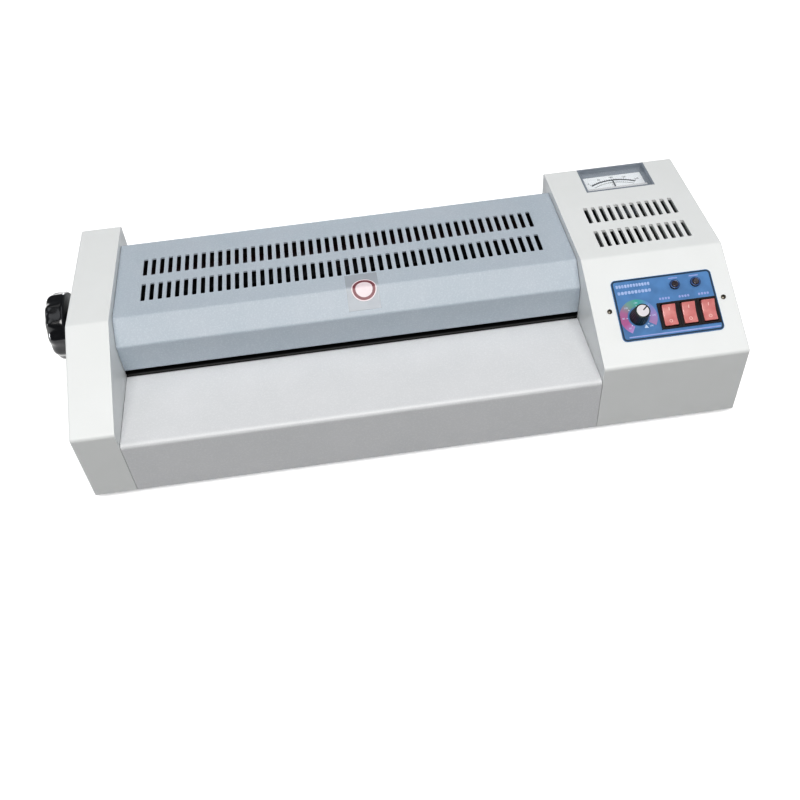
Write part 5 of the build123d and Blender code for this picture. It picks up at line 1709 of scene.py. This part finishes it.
@dataclass
class PressureSprings:
    """The pair of coil springs over one upper roller's bearing blocks; the real ones shorten as the roller
    lifts, but these stay at rest length on the frame.

    Attributes:
        node: The CAD node that they stand for.
        joint: The joint that presses them; not used.
        wire: The wire's thickness.
        turns: How many turns each has.
    """

    node: str
    joint: str
    wire: float = 0.7
    turns: int = 4

    def coil(self, foot: Array, radius: float, height: float) -> Array:
        """Carries the wire's circle along a helix.

        The path is foot + (r cos a, r sin a, h a / whole turn); the circle lies in the plane of the outward
        direction and the cross product of the path's direction with it.

        Args:
            foot: The middle of the helix's lower end.
            radius: The helix's radius.
            height: Its height.

        Returns:
            Rings as (along, around, coordinate).
        """
        whole = FULL_TURN * self.turns
        angle = np.linspace(0, whole, 24 * self.turns + 1)
        outward = np.stack([np.cos(angle), np.sin(angle), np.zeros_like(angle)], axis=-1)
        climb = np.full_like(angle, height / whole / radius)
        ahead = np.stack([-np.sin(angle), np.cos(angle), climb], axis=-1)
        ahead /= np.linalg.norm(ahead, axis=-1, keepdims=True)
        path = foot + radius * outward + np.stack([0 * angle, 0 * angle, height * angle / whole], axis=-1)
        round_wire = circle(self.wire / 2, 10)
        beside = np.cross(ahead, outward)
        return path[:, None] + round_wire[:, :1] * outward[:, None] + round_wire[:, 1:] * beside[:, None]

    def build(self) -> None:
        """Winds both springs on the frame and gives them a mesh of their own."""
        low, high = box_mm(self.node)
        radius = (high[1] - low[1] - self.wire) / 2
        outer = radius + self.wire / 2
        height = high[2] - low[2] - self.wire
        across = (low[0] + outer, high[0] - outer)
        feet = [np.array([x, (low[1] + high[1]) / 2, low[2] + self.wire / 2]) for x in across]
        shells = [Shell.stacked(self.coil(foot, radius, height)) for foot in feet]
        springs = add_piece(f"{self.node}_wound", shells, Finishes.ground_steel, Body.FRAME)
        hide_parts(self.node)
        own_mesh(springs)


@dataclass
class Studio:
    """A plain pale floor, soft light from above and the camera of the photograph.

    Attributes:
        camera_mm: The camera's place in millimetres.
        pitch: How far the camera looks up, in degrees.
        yaw: How far it looks to the right.
        roll: How far it is turned about its own line of sight.
        focal_pixels: The focal length in pixels of the image.
        image_width: The image's width in pixels.
        sensor_width: The camera's sensor in millimetres.
        sky: The strength of the even light all round.
        softbox_power: The main light's power in watts.
        softbox_width: Its width in metres.
        softbox_place: Where it hangs from the machine, in metres.
        ceiling_power: The power of the light above and behind, in watts.
        ceiling_width: Its width in metres.
        ceiling_place: Where it hangs from the machine, in metres.
        fill: The strength of the light from each side, in watts a square metre.
        high_fill: The angle of the suns that stand high, in degrees, which softens their shadows.
        low_fill: The same angle of the suns that stand low.
        stage_reach: How far the floor reaches from the middle, in metres.
        floor_drop: How far the floor lies under the feet, in metres.
        wall_share: The backdrop's radius as a share of the floor's reach.
        wall_height: The backdrop's height in metres.
        wall_panels: How many flat panels the backdrop has.
    """

    camera_mm: tuple[float, float, float] = (-30.7, -558.7, 555.24)
    pitch: float = -46.79
    yaw: float = 3.91
    roll: float = -4.80
    focal_pixels: float = 923.74
    image_width: float = 800.0
    sensor_width: float = 36.0
    sky: float = 0.12
    softbox_power: float = 36.0
    softbox_width: float = 1.7
    softbox_place: tuple[float, float, float] = (0.0, -1.35, 2.1)
    ceiling_power: float = 0.8
    ceiling_width: float = 0.9
    ceiling_place: tuple[float, float, float] = (-0.65, 0.85, 1.7)
    fill: float = 0.3
    high_fill: float = 40.0
    low_fill: float = 10.0
    stage_reach: float = 8.0
    floor_drop: float = 0.0003
    wall_share: float = 0.8
    wall_height: float = 4.0
    wall_panels: int = 64

    def camera(self) -> None:
        """Sets up the camera from its angles."""
        yaw, pitch, roll = (math.radians(angle) for angle in (self.yaw, self.pitch, self.roll))
        ahead = np.array([math.sin(yaw) * math.cos(pitch), math.cos(yaw) * math.cos(pitch), math.sin(pitch)])
        level = np.cross(ahead, [0.0, 0.0, 1.0])
        level /= np.linalg.norm(level)
        above = np.cross(level, ahead)
        right = math.cos(roll) * level + math.sin(roll) * above
        up = -math.sin(roll) * level + math.cos(roll) * above
        data = bpy.data.cameras.new("photo_camera")
        data.sensor_width = self.sensor_width
        data.lens = self.focal_pixels / self.image_width * self.sensor_width
        data.clip_start = 0.01
        camera = bpy.data.objects.new("photo_camera", data)
        turn = Matrix(np.stack([right, up, -ahead], axis=-1).tolist()).to_4x4()
        camera.matrix_world = Matrix.Translation([value * MM for value in self.camera_mm]) @ turn
        bpy.context.scene.collection.objects.link(camera)
        bpy.context.scene.camera = camera

    def hang(self, name: str, data: bpy.types.Light, towards: tuple[float, float, float]) -> None:
        """Hangs a light that shines at the machine.

        Args:
            name: The light's name.
            data: The light itself.
            towards: Where it hangs from the machine, in metres.
        """
        lamp = bpy.data.objects.new(name, data)
        lamp.location = towards
        lamp.rotation_euler = Vector(towards).to_track_quat("Z", "Y").to_euler()
        bpy.context.scene.collection.objects.link(lamp)

    def softbox(self, name: str, width: float, power: float, towards: tuple[float, float, float]) -> None:
        """Hangs a wide soft light, two thirds as deep as wide.

        Args:
            name: The light's name.
            width: Its width in metres.
            power: Its power in watts.
            towards: Where it hangs from the machine, in metres.
        """
        data = bpy.data.lights.new(name, "AREA")
        data.shape = "RECTANGLE"
        data.size, data.size_y = width, width * 2 / 3
        data.energy = power
        data.color = linear("FFFDFA")[:3]
        self.hang(name, data, towards)

    def fills(self) -> None:
        """Adds even light from both sides, and low light for the ends and the back."""
        over, low = self.high_fill, self.low_fill
        hung = [
            ("left_fill", (-1.6, 0.0, 1.9), 1.0, over),
            ("right_fill", (1.6, 0.0, 1.9), 1.0, over),
            ("left_end_fill", (-2.4, 0.0, 0.05), 1.3, low),
            ("right_end_fill", (2.4, 0.0, 0.05), 1.3, low),
            ("back_fill", (0.0, 2.4, 0.2), 1.9, low),
        ]
        for name, towards, share, angle in hung:
            data = bpy.data.lights.new(name, "SUN")
            data.energy = self.fill * share
            data.angle = math.radians(angle)
            data.color = linear("FAFCFF")[:3]
            self.hang(name, data, towards)

    def lay(
        self, name: str, points: Array, faces: Sequence[Sequence[int]], paper: Finish
    ) -> bpy.types.Object:
        """Makes a piece of the stage that casts no light back on the machine.

        Args:
            name: Its name.
            points: Its corners in metres.
            faces: The corners of each face.
            paper: Its finish.

        Returns:
            The new object.
        """
        mesh = bpy.data.meshes.new(name)
        mesh.from_pydata(points.tolist(), [], faces)
        mesh.materials.append(paper.build())
        piece = bpy.data.objects.new(name, mesh)
        piece.visible_diffuse = False
        bpy.context.scene.collection.objects.link(piece)
        return piece

    def floor(self) -> None:
        """Lays the paper floor just under the feet."""
        outline = rounded_box(2 * self.stage_reach, 2 * self.stage_reach, self.stage_reach / 2)
        corners = at_height(outline, -self.floor_drop)
        paper = Lit(
            "studio_paper", "dial_card", "FAFAFA", 0.9,
            drift=0.02, drift_colour="F2F2F2", drift_size=300.0, glow=0.26,
        )
        self.lay("floor", corners, [range(len(corners))], paper)

    def backdrop(self) -> None:
        """Stands a lit paper wall all round, for views from the side; only the camera sees it."""
        ring = circle(self.stage_reach * self.wall_share, self.wall_panels)
        points = np.concatenate([at_height(ring, 0.0), at_height(ring, self.wall_height)])
        near = np.arange(self.wall_panels)
        ahead = np.roll(near, -1)
        faces = np.stack([near, near + self.wall_panels, ahead + self.wall_panels, ahead], axis=-1).tolist()
        paper = Lit(
            "backdrop_paper", "dial_card", "F4F4F5", 0.9,
            drift=0.02, drift_colour="EEEEEE", drift_size=300.0, glow=0.85,
        )
        wall = self.lay("backdrop", points, faces, paper)
        wall.visible_glossy = False
        wall.visible_shadow = False
        wall.visible_transmission = False

    def world(self) -> None:
        """Surrounds the scene with an even pale light."""
        world = bpy.data.worlds.new("studio")
        world.use_nodes = True
        background = world.node_tree.nodes["Background"]
        background.inputs["Color"].default_value = linear("F7FAFF")
        background.inputs["Strength"].default_value = self.sky
        bpy.context.scene.world = world

    def build(self) -> None:
        """Sets up the floor, the light and the camera."""
        self.world()
        self.floor()
        self.backdrop()
        self.softbox("front_softbox", self.softbox_width, self.softbox_power, self.softbox_place)
        self.softbox("ceiling_softbox", self.ceiling_width, self.ceiling_power, self.ceiling_place)
        self.fills()
        self.camera()
        bpy.context.scene.view_settings.view_transform = "Standard"
        bpy.context.scene.view_settings.look = "High Contrast"


def main() -> None:
    """Builds every sub-assembly in order."""
    logging.basicConfig(level=logging.INFO, format="%(name)s %(message)s")
    slope = Slope()
    switches = [
        Rocker("heat_rocker", "heat_rock", Body.HEAT, slope),
        Rocker("direction_rocker", "direction_rock", Body.DIRECTION, slope),
        Rocker("power_rocker", "power_rock", Body.POWER, slope),
    ]
    for part in [
        Studio(),
        Casing(),
        Mechanism(),
        PressureSprings("upper_hot_springs", "upper_hot_lift"),
        PressureSprings("upper_pull_springs", "upper_pull_lift"),
        HandWheel(),
        PlatePrint(slope),
        TemperatureKnob(slope),
        *switches,
        PilotLamps(slope),
        MeterFace(),
        LabelPrint(),
        CaseScrews(slope),
    ]:
        part.build()
        log.info("%s is done", type(part).__name__)


if __name__ == "__main__":
    main()
